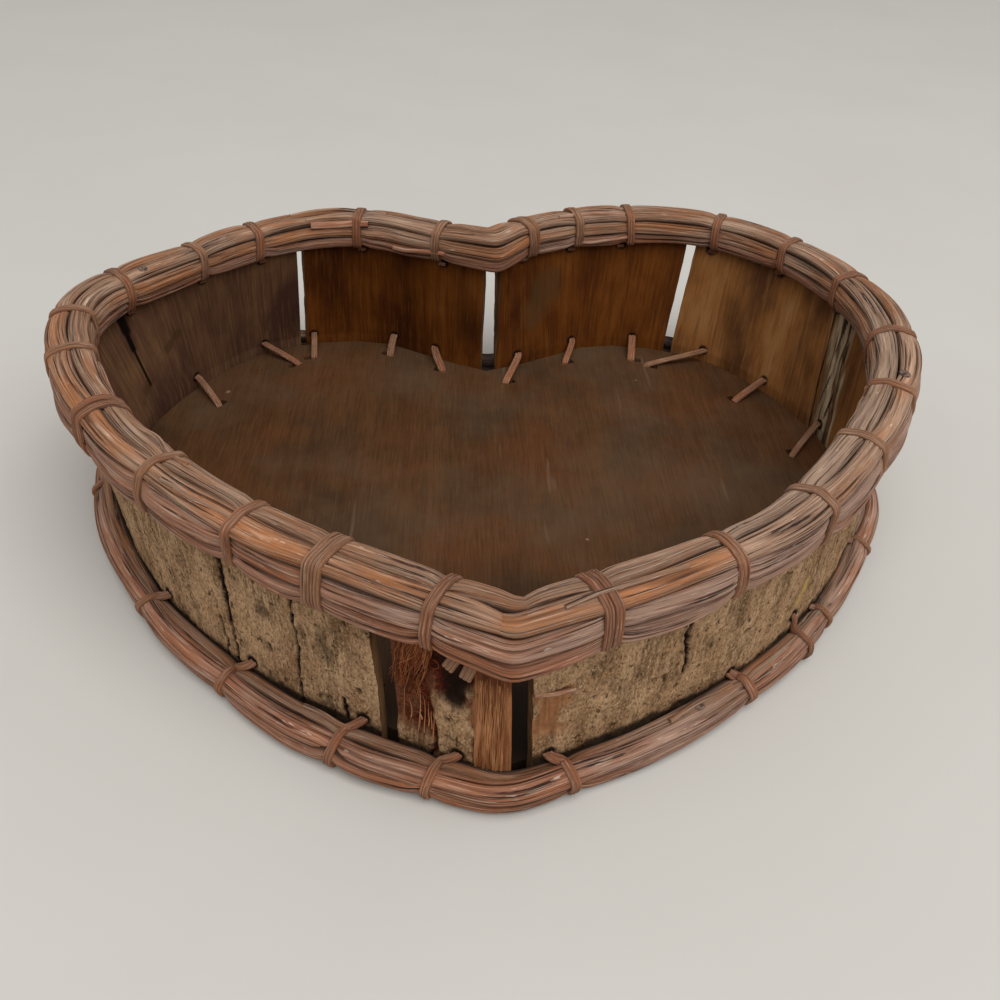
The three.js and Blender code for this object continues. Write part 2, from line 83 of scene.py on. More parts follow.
turn = Matrix(camera_axes()).transposed()
bpy.ops.object.camera_add(location=CAMERA_PLACE, rotation=turn.to_euler())
camera = bpy.context.object
camera.data.sensor_width = SENSOR_WIDTH
camera.data.lens = FOCAL_PIXELS / IMAGE_PIXELS * SENSOR_WIDTH
camera.data.clip_start = NEAREST_VIEW
bpy.context.scene.camera = camera
print("lens:", round(camera.data.lens, 1), "mm")

# %% [markdown]
# ## Colours and small node helpers
# Colours are written as they look on screen, from 0 to 255, and turned into the linear values that shaders
# use. One helper adds a node and fills its sockets, which keeps each material down to a few lines.

# %% Helpers for colours and nodes
def tint(red, green, blue):
    def linear(value):
        share = value / 255
        return share / 12.92 if share <= 0.04045 else ((share + 0.055) / 1.055) ** 2.4

    return (linear(red), linear(green), linear(blue), 1)


def add(tree, kind, inputs=None, **settings):
    node = tree.nodes.new(kind)
    for key, value in settings.items():
        setattr(node, key, value)
    for key, value in (inputs or {}).items():
        if isinstance(value, bpy.types.NodeSocket):
            tree.links.new(value, node.inputs[key])
        else:
            node.inputs[key].default_value = value
    return node


def mix(tree, share, first, second):
    return add(tree, "ShaderNodeMix", {0: share, 6: first, 7: second}, data_type="RGBA").outputs[2]


def spread(tree, value, low, high, start=0, end=1):
    sockets = {"Value": value, "From Min": low, "From Max": high, "To Min": start, "To Max": end}
    return add(tree, "ShaderNodeMapRange", sockets).outputs[0]


def between(tree, mask, low, high, first, second):
    """A colour that turns into another as the mask goes from low to high."""
    return mix(tree, spread(tree, mask, low, high), tint(*first), tint(*second))


def layers(tree, colour, coats):
    """Coats over a colour: mask, where it starts and ends, the coat's share at both, and its colour."""
    for mask, low, high, start, end, coat in coats:
        colour = mix(tree, spread(tree, mask, low, high, start, end), colour, tint(*coat))
    return colour


def calculate(tree, operation, first, second):
    return add(tree, "ShaderNodeMath", {0: first, 1: second}, operation=operation).outputs[0]


def stored(tree, label):
    return add(tree, "ShaderNodeAttribute", attribute_name=label).outputs["Fac"]


def noise(tree, place, scale, detail, roughness):
    sockets = {"Vector": place, "Scale": scale, "Detail": detail, "Roughness": roughness}
    return add(tree, "ShaderNodeTexNoise", sockets).outputs[0]


def cloud(tree, scale, stretch=(1, 1, 1), shift=0.0, detail=4.0, roughness=0.55):
    """Noise fixed to the object, with its size given per metre."""
    where = add(tree, "ShaderNodeTexCoord").outputs["Object"]
    moved = add(tree, "ShaderNodeMapping", {"Vector": where, "Location": (shift, 0, 0), "Scale": stretch})
    return noise(tree, moved.outputs[0], scale, detail, roughness)


def wall_cloud(tree, scale, along, seed, detail=4.0, roughness=0.55):
    """Noise fixed to the UV map of a panel, drawn out up the wall."""
    layout = add(tree, "ShaderNodeSeparateXYZ", {0: add(tree, "ShaderNodeUVMap").outputs[0]})
    up = calculate(tree, "MULTIPLY", layout.outputs[1], along)
    place = add(tree, "ShaderNodeCombineXYZ", {0: layout.outputs[0], 1: up, 2: seed})
    return noise(tree, place.outputs[0], scale, detail, roughness)


def new_finish(name, roughness=0.8, gloss=0.1):
    finish = bpy.data.materials.new(name)
    finish.use_nodes = True
    shader = finish.node_tree.nodes["Principled BSDF"]
    shader.inputs["Roughness"].default_value = roughness
    shader.inputs["Specular IOR Level"].default_value = gloss
    return finish, finish.node_tree, shader


def connect(tree, shader, colour, height, strength, distance):
    bump = add(tree, "ShaderNodeBump", {"Height": height, "Strength": strength, "Distance": distance * MM})
    tree.links.new(colour, shader.inputs["Base Color"])
    tree.links.new(bump.outputs[0], shader.inputs["Normal"])


def streaked_finish(name, roughness, dark, light, scale, stretch=(1, 1, 1), shift=0.0, fade=(0.35, 0.65),
                    relief=(0.5, 0.5)):
    """Two shades that follow one noise, which also gives the relief."""
    finish, tree, shader = new_finish(name, roughness)
    streak = cloud(tree, scale, stretch, shift, detail=3.0)
    connect(tree, shader, between(tree, streak, *fade, dark, light), streak, *relief)
    return finish


def new_group(name, inputs, outputs):
    group = bpy.data.node_groups.new(name, "ShaderNodeTree")
    for label in inputs:
        group.interface.new_socket(label, in_out="INPUT", socket_type="NodeSocketFloat")
    for label in outputs:
        group.interface.new_socket(label, in_out="OUTPUT", socket_type="NodeSocketFloat")
    return group, group.nodes.new("NodeGroupInput").outputs, group.nodes.new("NodeGroupOutput").inputs


print("helpers ready")

# %% [markdown]
# ## Floor and light
# The basket stands on a plain pale floor in soft daylight. A wide lamp above and in front gives the light a
# direction, and an even sky fills the shadows. Together they light a white card to just under white, so
# every colour renders about as it is written.

# %% Floor, sky and lamp
FLOOR_SIZE = 6
LAMP_PLACE = Vector((0.45, -1.04, 2.0))
LAMP_SIZE = 2.2
LAMP_POWER = 40
SKY_STRENGTH = 0.5
SKY_COLOUR = (1.0, 0.985, 0.96, 1)

bpy.ops.mesh.primitive_plane_add(size=FLOOR_SIZE)
floor = bpy.context.object
floor.name = "floor"
floor_finish, tree, shader = new_finish("pale_floor", 0.9)
pale = mix(tree, cloud(tree, 9.0), tint(204, 201, 195), tint(211, 209, 203))
tree.links.new(pale, shader.inputs["Base Color"])
floor.data.materials.append(floor_finish)

aim = (-LAMP_PLACE).to_track_quat("-Z", "Y").to_euler()
bpy.ops.object.light_add(type="AREA", location=LAMP_PLACE, rotation=aim)
lamp = bpy.context.object
lamp.data.size = LAMP_SIZE
lamp.data.energy = LAMP_POWER
world = bpy.data.worlds.new("even_sky")
world.use_nodes = True
sky = world.node_tree.nodes["Background"].inputs
sky["Color"].default_value = SKY_COLOUR
sky["Strength"].default_value = SKY_STRENGTH
bpy.context.scene.world = world
print("lamp at", [round(value, 2) for value in LAMP_PLACE], "power", LAMP_POWER)

# %% [markdown]
# ## The two lines of the wall
# The bark stands on one heart-shaped line and its upper edge is bent to another. Both are read off the packed
# rods that lie against the bark's outer face: the corners of a rod's underside come in pairs, and each pair
# points straight out of the wall.

# %% Read a line of the wall from a rod
BARK_TO_ROD = 2.1
LEAST_STEP = 4.0


def wall_corners(rod):
    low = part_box(rod)[0].z
    flat = {tuple(round(part / MM, 2) for part in v.co.xy)
            for v in nodes[rod].data.vertices if abs(v.co.z - low) < 0.1 * MM}
    points = np.array(sorted(flat))
    gaps = np.linalg.norm(points[:, None] - points[None], axis=2)
    np.fill_diagonal(gaps, np.inf)
    partner = points[gaps.argmin(1)]
    width = gaps.min(1)
    usual = np.median(width)
    inner = np.linalg.norm(points, axis=1) < np.linalg.norm(partner, axis=1)
    drawn_in = points + (points - partner) * BARK_TO_ROD / usual
    return drawn_in[inner & (width > 0.8 * usual)]


def round_trip(corners):
    angles = np.arctan2(corners[:, 0], corners[:, 1]) % (2 * math.pi)
    ordered = corners[angles.argsort()]
    steps = np.linalg.norm(ordered - np.roll(ordered, 1, axis=0), axis=1)
    ordered = ordered[steps > LEAST_STEP]
    behind = np.where(ordered[:, 1] > 0, np.abs(ordered[:, 0]), np.inf)
    return np.roll(ordered, -behind.argmin(), axis=0)


print("rim corners:", len(round_trip(wall_corners("rim_rod_outer_lower"))))

# %% [markdown]
# The cleft and the tip are real kinks: a rod laid beside the line has to meet itself there on a mitre. So
# near a kink the direction that points out of the wall swings over to the mitre, and a rod outside the line
# reaches further round the corner than one inside it.

# %% A line that can be asked for places
LINE_STEP = 0.5
KINK_REACH = 20
SMOOTH_STEPS = 40


def unit(vectors):
    return vectors / np.linalg.norm(vectors, axis=-1)[..., None]


def left_of(along):
    return np.stack([-along[..., 1], along[..., 0]], axis=-1)


def smooth_through(points):
    padded = np.vstack([2 * points[0] - points[1], points, 2 * points[-1] - points[-2]])
    share = np.linspace(0, 1, SMOOTH_STEPS, endpoint=False)[:, None]
    pieces = []
    for a, b, c, d in zip(padded, padded[1:], padded[2:], padded[3:]):
        bend = (2 * a - 5 * b + 4 * c - d) * share ** 2 + (3 * b - a - 3 * c + d) * share ** 3
        pieces.append(b + ((c - a) * share + bend) / 2)
    return np.vstack(pieces + [points[-1:]])


def distances(points):
    """How far along a line of points each point lies."""
    return np.concatenate([[0], np.linalg.norm(np.diff(points, axis=0), axis=1).cumsum()])


def read_off(places, ways, table):
    """The rows of a table at places between the ways that it is given for."""
    return np.column_stack([np.interp(places, ways, column) for column in table.T])


def even_steps(points, step):
    fine = smooth_through(np.array(points, float))
    way = distances(fine)
    places = np.linspace(0, way[-1], max(4, round(way[-1] / step) + 1))
    return read_off(places, way, fine)


def mitre_pull(here, there):
    normal = left_of(there)
    return normal @ here / (1 + normal @ left_of(here))


class WallLine:
    """A closed line round the heart, measured in millimetres clockwise from the cleft."""

    def __init__(self, rod, rounding):
        corners = round_trip(wall_corners(rod))
        ahead = np.where(corners[:, 1] < 0, np.abs(corners[:, 0]), np.inf)
        tip = ahead.argmin()
        halves = [even_steps(part, LINE_STEP)
                  for part in (corners[:tip + 1], np.vstack([corners[tip:], corners[:1]]))]
        courses = [unit(np.gradient(half, axis=0)) for half in halves]
        offsets = []
        for along, other in zip(courses, courses[::-1]):
            fade = np.clip(1 - np.arange(len(along)) * LINE_STEP / KINK_REACH, 0, 1) ** 2
            pull = mitre_pull(along[0], other[-1]) * fade + mitre_pull(along[-1], other[0]) * fade[::-1]
            offsets.append(left_of(along) + along * pull[:, None])
        self.points = self.soften(np.vstack([half[:-1] for half in halves]), rounding)
        self.offsets = self.soften(np.vstack([part[:-1] for part in offsets]), rounding)
        self.length = len(self.points) * LINE_STEP
        self.tip = (len(halves[0]) - 1) * LINE_STEP

    @staticmethod
    def soften(table, rounding):
        reach = int(3 * rounding / LINE_STEP)
        shifts = np.arange(-reach, reach + 1)
        weights = np.exp(-0.5 * (shifts * LINE_STEP / rounding) ** 2)
        rolled = (np.roll(table, shift, axis=0) * weight for shift, weight in zip(shifts, weights))
        return sum(rolled) / weights.sum()

    def pick(self, table, way):
        index = np.asarray(way, float) / LINE_STEP
        low = np.floor(index).astype(int)
        share = (index - low)[..., None]
        return table[low % len(table)] * (1 - share) + table[(low + 1) % len(table)] * share

    def place(self, way, out, height):
        flat = self.pick(self.points, way) + self.pick(self.offsets, way) * np.asarray(out, float)[..., None]
        height = np.broadcast_to(height, flat.shape[:-1])
        return np.concatenate([flat, height[..., None]], axis=-1)

    def outward(self, way):
        return unit(self.pick(self.offsets, way))

    def nearest(self, point):
        gaps = np.linalg.norm(self.points - np.asarray(point)[:2], axis=1)
        return gaps.argmin() * LINE_STEP


RIM_ROUNDING = 1.8
FOOT_ROUNDING = 4.5
rim_line = WallLine("rim_rod_outer_lower", RIM_ROUNDING)
foot_line = WallLine("foot_rod_lower", FOOT_ROUNDING)
print("round the rim:", round(rim_line.length), "mm, round the foot:", round(foot_line.length), "mm")

# %% [markdown]
# ## Where the ties sit
# Each tie pinches its bundle, so the rods need to know where the ties are before they can be made. The middle
# of a tie's solid gives its place on the line.

# %% Find the ties
def solid_corners(node):
    return np.array([v.co for v in nodes[node].data.vertices]) / MM


def rim_tie_way(node):
    low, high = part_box(node)
    return rim_line.nearest((low + high) / 2 / MM)


def foot_tie_way(node):
    corners = solid_corners(node)
    outermost = np.linalg.norm(corners[:, :2], axis=1).argmax()
    return foot_line.nearest(corners[outermost])


RIM_TIES = {name: rim_tie_way(name) for name in nodes if name.startswith("rim_tie")}
FOOT_TIES = {name: foot_tie_way(name) for name in nodes if name.startswith("foot_tie")}
print("ties over the rim:", len(RIM_TIES), "round the foot:", len(FOOT_TIES))

# %% [markdown]
# ## Sweeping a strip
# A rod or a tie is one long strip. It could be a curve with a bevel, but a curve has one section all along,
# and these strips have splits that come and go. So a flat grid is added, its columns are wrapped round the
# strip and its rows follow the strip's way. The seam is merged, the ends are filled, and the grid's own UV
# map is stretched to real sizes, so grain can follow the strip.

# %% Make a strip from rings of points
# Edges sharper than this many degrees stay sharp
STRIP_EDGE = 40
PANEL_EDGE = 50


def grid(name, columns, rows):
    bpy.ops.object.select_all(action="DESELECT")
    bpy.ops.mesh.primitive_grid_add(x_subdivisions=columns, y_subdivisions=rows, size=1)
    piece = bpy.context.object
    piece.name = name
    piece.data.name = name
    return piece


def set_points(piece, points):
    piece.data.vertices.foreach_set("co", (points * MM).astype(np.float32).ravel())
    piece.data.update()


def set_value(piece, label, values):
    attribute = piece.data.attributes.new(label, "FLOAT", "POINT")
    attribute.data.foreach_set("value", np.asarray(values, np.float32).ravel())


def stretch_uv(piece, across, along, start=0.0):
    layer = piece.data.uv_layers.active.data
    uv = np.empty(len(layer) * 2, np.float32)
    layer.foreach_get("uv", uv)
    layer.foreach_set("uv", ((uv.reshape(-1, 2) * (across, along) + (start, 0)) * MM).ravel())


def close_up(piece, angle):
    bpy.ops.object.mode_set(mode="EDIT")
    bpy.ops.mesh.select_all(action="SELECT")
    bpy.ops.mesh.remove_doubles(threshold=0.001 * MM)
    bpy.ops.mesh.fill_holes(sides=0)
    bpy.ops.mesh.normals_make_consistent(inside=False)
    bpy.ops.object.mode_set(mode="OBJECT")
    bpy.ops.object.shade_smooth_by_angle(angle=math.radians(angle))


def strip_from(name, rings, values):
    rows, columns = rings.shape[:2]
    piece = grid(name, columns, rows - 1)
    wrapped = np.concatenate([rings, rings[:, :1]], axis=1)
    set_points(piece, wrapped)
    for label, value in values.items():
        set_value(piece, label, np.concatenate([value, value[:, :1]], axis=1))
    girth = np.linalg.norm(np.diff(wrapped[rows // 2], axis=0), axis=1).sum()
    length = np.linalg.norm(np.diff(rings.mean(1), axis=0), axis=1).sum()
    stretch_uv(piece, girth, length)
    close_up(piece, STRIP_EDGE)
    return piece


def settle(piece, finish):
    piece.data.materials.append(finish)
    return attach(piece, "root")


print("strip maker ready")

# %% [markdown]
# ## Grain for everything split from a stem
# Rods and cane show the same thing at different sizes: fibres along the strip. The group reads the strip's UV
# map, squeezes it along the strip, and gives coarse streaks, fine fibres, short marks for painted glints and
# broad patches.

# %% The grain group
GRAIN_ROUGHNESS = 0.6
GRAIN_KINDS = {
    # name: how much finer across the strip, how much shorter along it, detail
    "Streak": (1.0, 1.0, 5.0),
    "Fibre": (3.2, 1.8, 4.0),
    # Short marks that the finishes use for painted glints
    "Glint": (2.0, 5.0, 3.0),
    "Patch": (0.10, 0.9, 3.0),
}


def make_grain():
    group, given, wanted = new_group("long_grain", ("Across", "Along", "Seed"), GRAIN_KINDS)
    layout = add(group, "ShaderNodeSeparateXYZ", {0: add(group, "ShaderNodeUVMap").outputs[0]})
    across = calculate(group, "MULTIPLY", layout.outputs[0], given["Across"])
    along = calculate(group, "MULTIPLY", layout.outputs[1], given["Along"])
    for label, (finer, shorter, detail) in GRAIN_KINDS.items():
        place = add(group, "ShaderNodeCombineXYZ", {
            0: calculate(group, "MULTIPLY", across, finer),
            1: calculate(group, "MULTIPLY", along, shorter),
            2: given["Seed"],
        })
        group.links.new(noise(group, place.outputs[0], 1.0, detail, GRAIN_ROUGHNESS), wanted[label])
    return group


GRAIN = make_grain()


def grain(tree, across, along, seed):
    node = add(tree, "ShaderNodeGroup", node_tree=GRAIN)
    for label, value in (("Across", across), ("Along", along), ("Seed", seed)):
        node.inputs[label].default_value = value
    return node.outputs


print("grain outputs:", [item.name for item in GRAIN.interface.items_tree if item.in_out == "OUTPUT"])

# %% [markdown]
# ## Finish of the split rods
# The rods are weathered stems split lengthwise: pinkish browns, orange where the skin is fresh, grey where it
# has worn. Splits are nearly black, from dust and from painted shade, and the same dark paints shade along
# the sides of each rod, and on the foot beside the wall and behind gaps in the wall. Short pale glints are
# painted highlights. Each rod takes one of a few colour sets, and broad patches move between the colours of
# its set along the rod.

# %% Rod finishes
ROD_COLOURS = {
    # name: main, worn and fresh
    "mauve": ((162, 110, 83), (172, 137, 118), (160, 102, 70)),
    "tawny": ((170, 116, 79), (176, 140, 114), (178, 114, 68)),
    "grey": ((162, 122, 94), (174, 144, 121), (160, 109, 75)),
    "russet": ((160, 104, 76), (170, 131, 110), (166, 104, 69)),
}
# Nearly black, for splits and for the shade painted on the rods
SPLIT_AND_SHADE_COLOUR = (36, 22, 14)
PALE_FIBRE = (206, 174, 150)
TONE_SHIFT = 0.1


def strand_finish(name, colours, across, along, seed, shine, line_darkness):
    main, worn, fresh = colours
    finish, tree, shader = new_finish(name, gloss=0.3)
    lines = grain(tree, across, along, seed)
    shift = calculate(tree, "MULTIPLY", stored(tree, "tone"), TONE_SHIFT)
    patch = calculate(tree, "ADD", lines["Patch"], shift)
    toned = layers(tree, between(tree, patch, 0.38, 0.52, worn, main), (
        (patch, 0.54, 0.64, 0, 1, fresh),
        (lines["Streak"], 0.40, 0.49, 0.65, 0, (98, 62, 46)),
        (lines["Streak"], 0.38, 0.41, line_darkness, 0, SPLIT_AND_SHADE_COLOUR),
        (lines["Fibre"], 0.40, 0.47, 0.4, 0, (110, 72, 54)),
        (lines["Fibre"], 0.54, 0.62, 0, 0.6, PALE_FIBRE),
        # Painted highlight: short pale glints along the grain
        (lines["Glint"], 0.64, 0.68, 0, 0.5, (226, 206, 188)),
    ))
    # The split value also holds painted shade: along the sides of each rod, and on the foot beside the wall
    # and behind gaps in the wall
    colour = mix(tree, stored(tree, "split"), toned, tint(*SPLIT_AND_SHADE_COLOUR))
    tree.links.new(spread(tree, lines["Streak"], 0.3, 0.7, 0.9, shine), shader.inputs["Roughness"])
    height = calculate(tree, "ADD", lines["Streak"], lines["Fibre"])
    connect(tree, shader, colour, height, 0.9, 0.6)
    return finish


ROD_FINISHES = {
    label: strand_finish(f"rod_{label}", colours, 1000.0, 24.0, seed * 5.0, shine=0.55, line_darkness=0.95)
    for seed, (label, colours) in enumerate(ROD_COLOURS.items())
}
print("rod finishes:", list(ROD_FINISHES))

# %% [markdown]
# ## A bundle of split rods
# In a bundle every rod has a seat: so far out of the wall, so high, and facing so. Between two ties a rod
# bows away from the middle of the bundle, by a different amount in each bay, and at a tie it is pulled in.
# Slow waves let it wander and twist. Splits run along its face, shift from bay to bay, and leave the slivers
# between them at slightly different heights. A profile makes the bundle fuller or thinner along the wall, or
# lets it stand out. The same outline is used for the mesh and for laying the ties round it, so a tie always
# lies on its bundle.

# %% How one rod lies in its bundle
FACE_POINTS = 42
BACK_POINTS = 8
SQUARENESS = 0.54
# Painted shade on the rods: how dark it gets, and over how many millimetres it fades beside the wall
DARKEST = 0.95
SHADE_FADE = 1.5
PINCH_REACH = 3.5
# How far along the foot the painted shade behind a gap in the wall reaches
GAP_SHADE = 7.0
# Rods beside the wall move out less than the others where the bundle stands out
WALL_SIDE = 3.0
STAND_REACH = 5.0
LEAST_STAND = 0.3
OPEN_BOW = 1.0
BOW_RANGE = (-0.15, 1)
TONE_RANGE = 0.8
# Slow waves along a rod: about how long they are, and how much they do
WANDERS = ((90, 0.3), (80, 0.3))
TWIST = (130, 0.16)
SWELL = (90, 0.12)
SHARED_WANDER = (160, 0.09)
OWN_WANDER = (140, 0.035)
COME_AND_GO = (75, 1.4)
SLIVER_STEP = (200, 0.3)
WEAR_SPAN = 45
# Worn skin along the shoulders of a rod: how far from its crown, how wide, and how much greyer
SHOULDER = 0.72
SHOULDER_WIDTH = 0.1
EDGE_WEAR = 1.8
# How far the splits of a rod jump at a tie
BAY_SHIFT = 0.25
SPLIT_KINDS = {
    # name: how many, half width in radians, depth, darkness, how much of the rod's length they run
    "deep": (3, 0.12, 1.0, 1.0, 0.42),
    "fine": (5, 0.09, 0.35, 0.7, 0.65),
}


def waves(way, length, rng, span, amount=1):
    """A smooth closed wander of about the given amount to either side, with waves of about the given span."""
    total = np.zeros_like(way)
    for share in (0.6, 1.0, 1.5, 2.3):
        count = max(1, round(length / span * share))
        total += np.sin(2 * math.pi * (count * way / length + rng.random())) / (1 + share)
    return total / 1.4 * amount


def section_angles():
    face = np.linspace(-0.2, math.pi + 0.2, FACE_POINTS)
    back = np.linspace(math.pi + 0.5, 2 * math.pi - 0.5, BACK_POINTS)
    return np.concatenate([face, back])


class Rod:
    """One rod of a bundle, with its outline at any place along the wall."""

    def __init__(self, bundle, seat, seed):
        self.bundle = bundle
        self.out, self.up, facing, self.half_wide, self.half_deep, self.bow, self.colour = seat
        self.facing = math.radians(facing)
        self.seed = seed
        self.away = unit(np.array([self.out, self.up]) - bundle.centre)

    def centre_line(self, way, rng):
        bundle = self.bundle
        bay, swell, squeeze = bundle.bays(way)
        amounts = rng.uniform(*BOW_RANGE, len(bundle.ties))
        amounts[bundle.open_bays] = OPEN_BOW
        amount = amounts[bay] * self.bow
        centre = np.array([self.out, self.up]) + (amount * swell)[:, None] * self.away
        centre[:, 0] += bundle.drift[bay] * swell
        centre += np.column_stack([waves(way, bundle.line.length, rng, *wander) for wander in WANDERS])
        return centre - squeeze[:, None] * self.away * bundle.pinch

    def splits(self, way, angle, rng):
        """How dark each point is, and how far it stands out between the splits or lies in one."""
        length = self.bundle.line.length
        kinds = [kind for kind in SPLIT_KINDS.values() for _ in range(kind[0])]
        rng.shuffle(kinds)
        starts = (np.arange(len(kinds)) + rng.uniform(0.2, 0.9, len(kinds))) / (len(kinds) + 0.1) * math.pi
        bay = self.bundle.bays(way)[0]
        shared = waves(way, length, rng, *SHARED_WANDER)
        shared += rng.uniform(-BAY_SHIFT, BAY_SHIFT, len(self.bundle.ties))[bay]
        dark = np.zeros((len(way), len(angle)))
        relief = np.zeros_like(dark)
        for start, (_, half_width, depth, darkness, share) in zip(starts, kinds):
            place = start + shared + waves(way, length, rng, *OWN_WANDER)
            offset = angle[None] - place[:, None]
            strength = np.clip(waves(way, length, rng, *COME_AND_GO) + share, 0, 1)[:, None]
            split = strength * np.clip(1 - np.abs(offset) / half_width, 0, 1)
            dark = np.maximum(dark, split * darkness)
            step = waves(way, length, rng, *SLIVER_STEP)[:, None]
            relief += np.where(offset > 0, step, 0) - split * depth
        return dark, relief - relief.max(1)[:, None] * 0.5

    def outline(self, way):
        """Rings of (out, up) points in millimetres, how dark each point is from its splits and from painted
        shade, and the tone of its strip.
        """
        way = np.asarray(way, float)
        rng = np.random.default_rng(self.seed)
        length = self.bundle.line.length
        centre = self.centre_line(way, rng)
        twist = self.facing + waves(way, length, rng, *TWIST)
        size = 1 + waves(way, length, rng, *SWELL)
        angle = section_angles()
        curve = np.abs(np.cos(angle)) ** SQUARENESS * np.sign(np.cos(angle))
        crown = np.abs(np.sin(angle)) ** SQUARENESS * np.sign(np.sin(angle))
        dark, relief = self.splits(way, angle, rng)
        face = np.clip(crown * 2.5, 0, 1)
        across = curve * self.half_wide * size[:, None]
        depth = crown * self.half_deep * size[:, None] + face * relief
        facing = np.stack([np.cos(twist), np.sin(twist)], axis=-1)[:, None]
        rings = centre[:, None] + across[..., None] * -left_of(facing) + depth[..., None] * facing
        stand, fullness = np.split(self.bundle.profile(way)[:, None], [1], axis=-1)
        rings = self.bundle.centre + (rings - self.bundle.centre) * fullness
        stand = stand * min(max((self.out - WALL_SIDE) / STAND_REACH, LEAST_STAND), 1)
        rings[..., :1] += stand
        rings[..., 1] = np.maximum(rings[..., 1], self.bundle.least_up)
        # Painted shade along both sides of each rod, where it meets the rods beside it
        side_shade = np.clip(0.6 - crown * 1.5, 0, 0.9)
        # Painted shade on the parts of a rod nearest the wall
        shade = np.clip((self.bundle.shaded_below + stand[..., 0] - rings[..., 0]) / SHADE_FADE, 0, DARKEST)
        # Painted shade where the rods show through gaps in the wall
        for place in self.bundle.gap_shade_at:
            aside = (way - place + length / 2) % length - length / 2
            shade = np.maximum(shade, DARKEST * np.exp(-(aside / GAP_SHADE) ** 4)[:, None])
        tone = rng.uniform(-TONE_RANGE, TONE_RANGE, len(self.bundle.ties))[self.bundle.bays(way)[0]]
        tone = tone + np.interp(way % length, *self.bundle.freshness)
        shoulder = np.exp(-((np.abs(np.cos(angle)) - SHOULDER) / SHOULDER_WIDTH) ** 2) * (np.sin(angle) > 0)
        worn = np.clip(waves(way, length, rng, WEAR_SPAN) + 0.1, 0, 1)[:, None] * shoulder * EDGE_WEAR
        return rings, np.maximum(np.maximum(dark, side_shade[None]), shade), tone[:, None] - worn


class Bundle:
    """Rods that lie together along a line of the wall.

    Ties pinch them, and between ties they drift out by up to one amount at the right and one at the left.
    No point lies below least_up. Points nearer to the wall than shaded_below, and places behind gaps in the
    wall, are painted dark as shade.
    """

    def __init__(self, line, centre, ties, seats, profile, freshness, pinch, drift, least_up, shaded_below,
                 open_at, gap_shade_at, seed):
        self.line = line
        self.centre = np.array(centre)
        self.ties = np.sort(np.array(list(ties)))
        self.stops = np.array(profile).T
        self.freshness = np.array(freshness).T
        self.gap_shade_at = gap_shade_at
        self.pinch = pinch
        self.least_up = least_up
        self.shaded_below = shaded_below
        self.open_bays = [int(self.bays(np.array([place]))[0][0]) for place in open_at]
        amounts = np.random.default_rng(seed).random(len(self.ties))
        self.drift = amounts * np.where(self.ties < line.tip, *drift)
        self.rods = {name: Rod(self, seat, seed + index) for index, (name, seat) in enumerate(seats.items())}

    def bays(self, way):
        """The bay each place lies in, 0 at its ties up to 1 between them, and how hard it is pinched."""
        length = self.line.length
        folded = (way - self.ties[0]) % length
        starts = self.ties - self.ties[0]
        bay = np.searchsorted(starts, folded, side="right") - 1
        widths = np.diff(np.append(starts, length))[bay]
        into = folded - starts[bay]
        nearest = np.minimum(into, widths - into)
        return bay, np.sin(math.pi * into / widths) ** 0.8, np.exp(-(nearest / PINCH_REACH) ** 2)

    def profile(self, way):
        """How far the bundle stands out at each place, and its fullness across and up."""
        folded = np.asarray(way, float) % self.line.length
        ways, *columns = self.stops
        return np.stack([np.interp(folded, ways, column) for column in columns], axis=-1)

    def around(self, way):
        """All outline points of the bundle at one place, as (out, up)."""
        return np.vstack([rod.outline([way])[0][0] for rod in self.rods.values()])


print("points round a rod:", len(section_angles()))

# %% [markdown]
# ## Seats of the rods
# Seen in section, the rim bundle has two rods inside the bark, two outside and two over the top. The foot
# bundle lies outside the bark only, with four rods round a fifth that fills the middle. The rim is fuller at
# the front, and the foot widens at the left front. Sizes are in millimetres and directions in degrees, with
# 0 straight out of the wall and 90 straight up.

# %% Lay out both bundles
RIM_SEATS = {
    # name: out, up, facing, half width, half depth, bow between ties, colour
    "outer_low": (5.2, 63.0, -12, 3.1, 2.7, 1.6, "russet"),
    "outer_high": (5.7, 69.3, 8, 3.5, 2.8, 0.8, "mauve"),
    "top_outer": (3.8, 75.0, 70, 3.8, 2.3, 0.6, "tawny"),
    "top_inner": (-3.6, 75.1, 108, 3.8, 2.3, 0.6, "grey"),
    "inner_high": (-5.7, 69.3, 172, 3.5, 2.8, 0.8, "tawny"),
    "inner_low": (-5.2, 63.1, 190, 3.1, 2.6, 1.1, "mauve"),
}
FOOT_SEATS = {
    "inner_high": (4.1, 8.4, 112, 2.6, 2.0, 0.6, "grey"),
    "outer_high": (7.2, 8.0, 58, 3.3, 2.1, 0.7, "mauve"),
    "outer_low": (7.9, 4.5, -22, 2.7, 2.0, 0.6, "russet"),
    "inner_low": (4.5, 4.2, 250, 2.5, 2.0, 0.3, "grey"),
    "core": (6.0, 6.9, 95, 3.0, 2.0, 0.2, "grey"),
}
RIM_PROFILE = (
    # share of the way from the cleft to the tip, how far the bundle stands out, fullness across and up
    (0.0, 0, 0.92, 0.84),
    (0.15, 0, 0.90, 0.80),
    (0.3, 0, 0.88, 0.73),
    (0.42, 0, 0.95, 0.80),
    (0.55, 0, 1.0, 0.9),
    (0.8, 0, 0.98, 0.94),
    (1.0, 0, 0.97, 0.95),
)
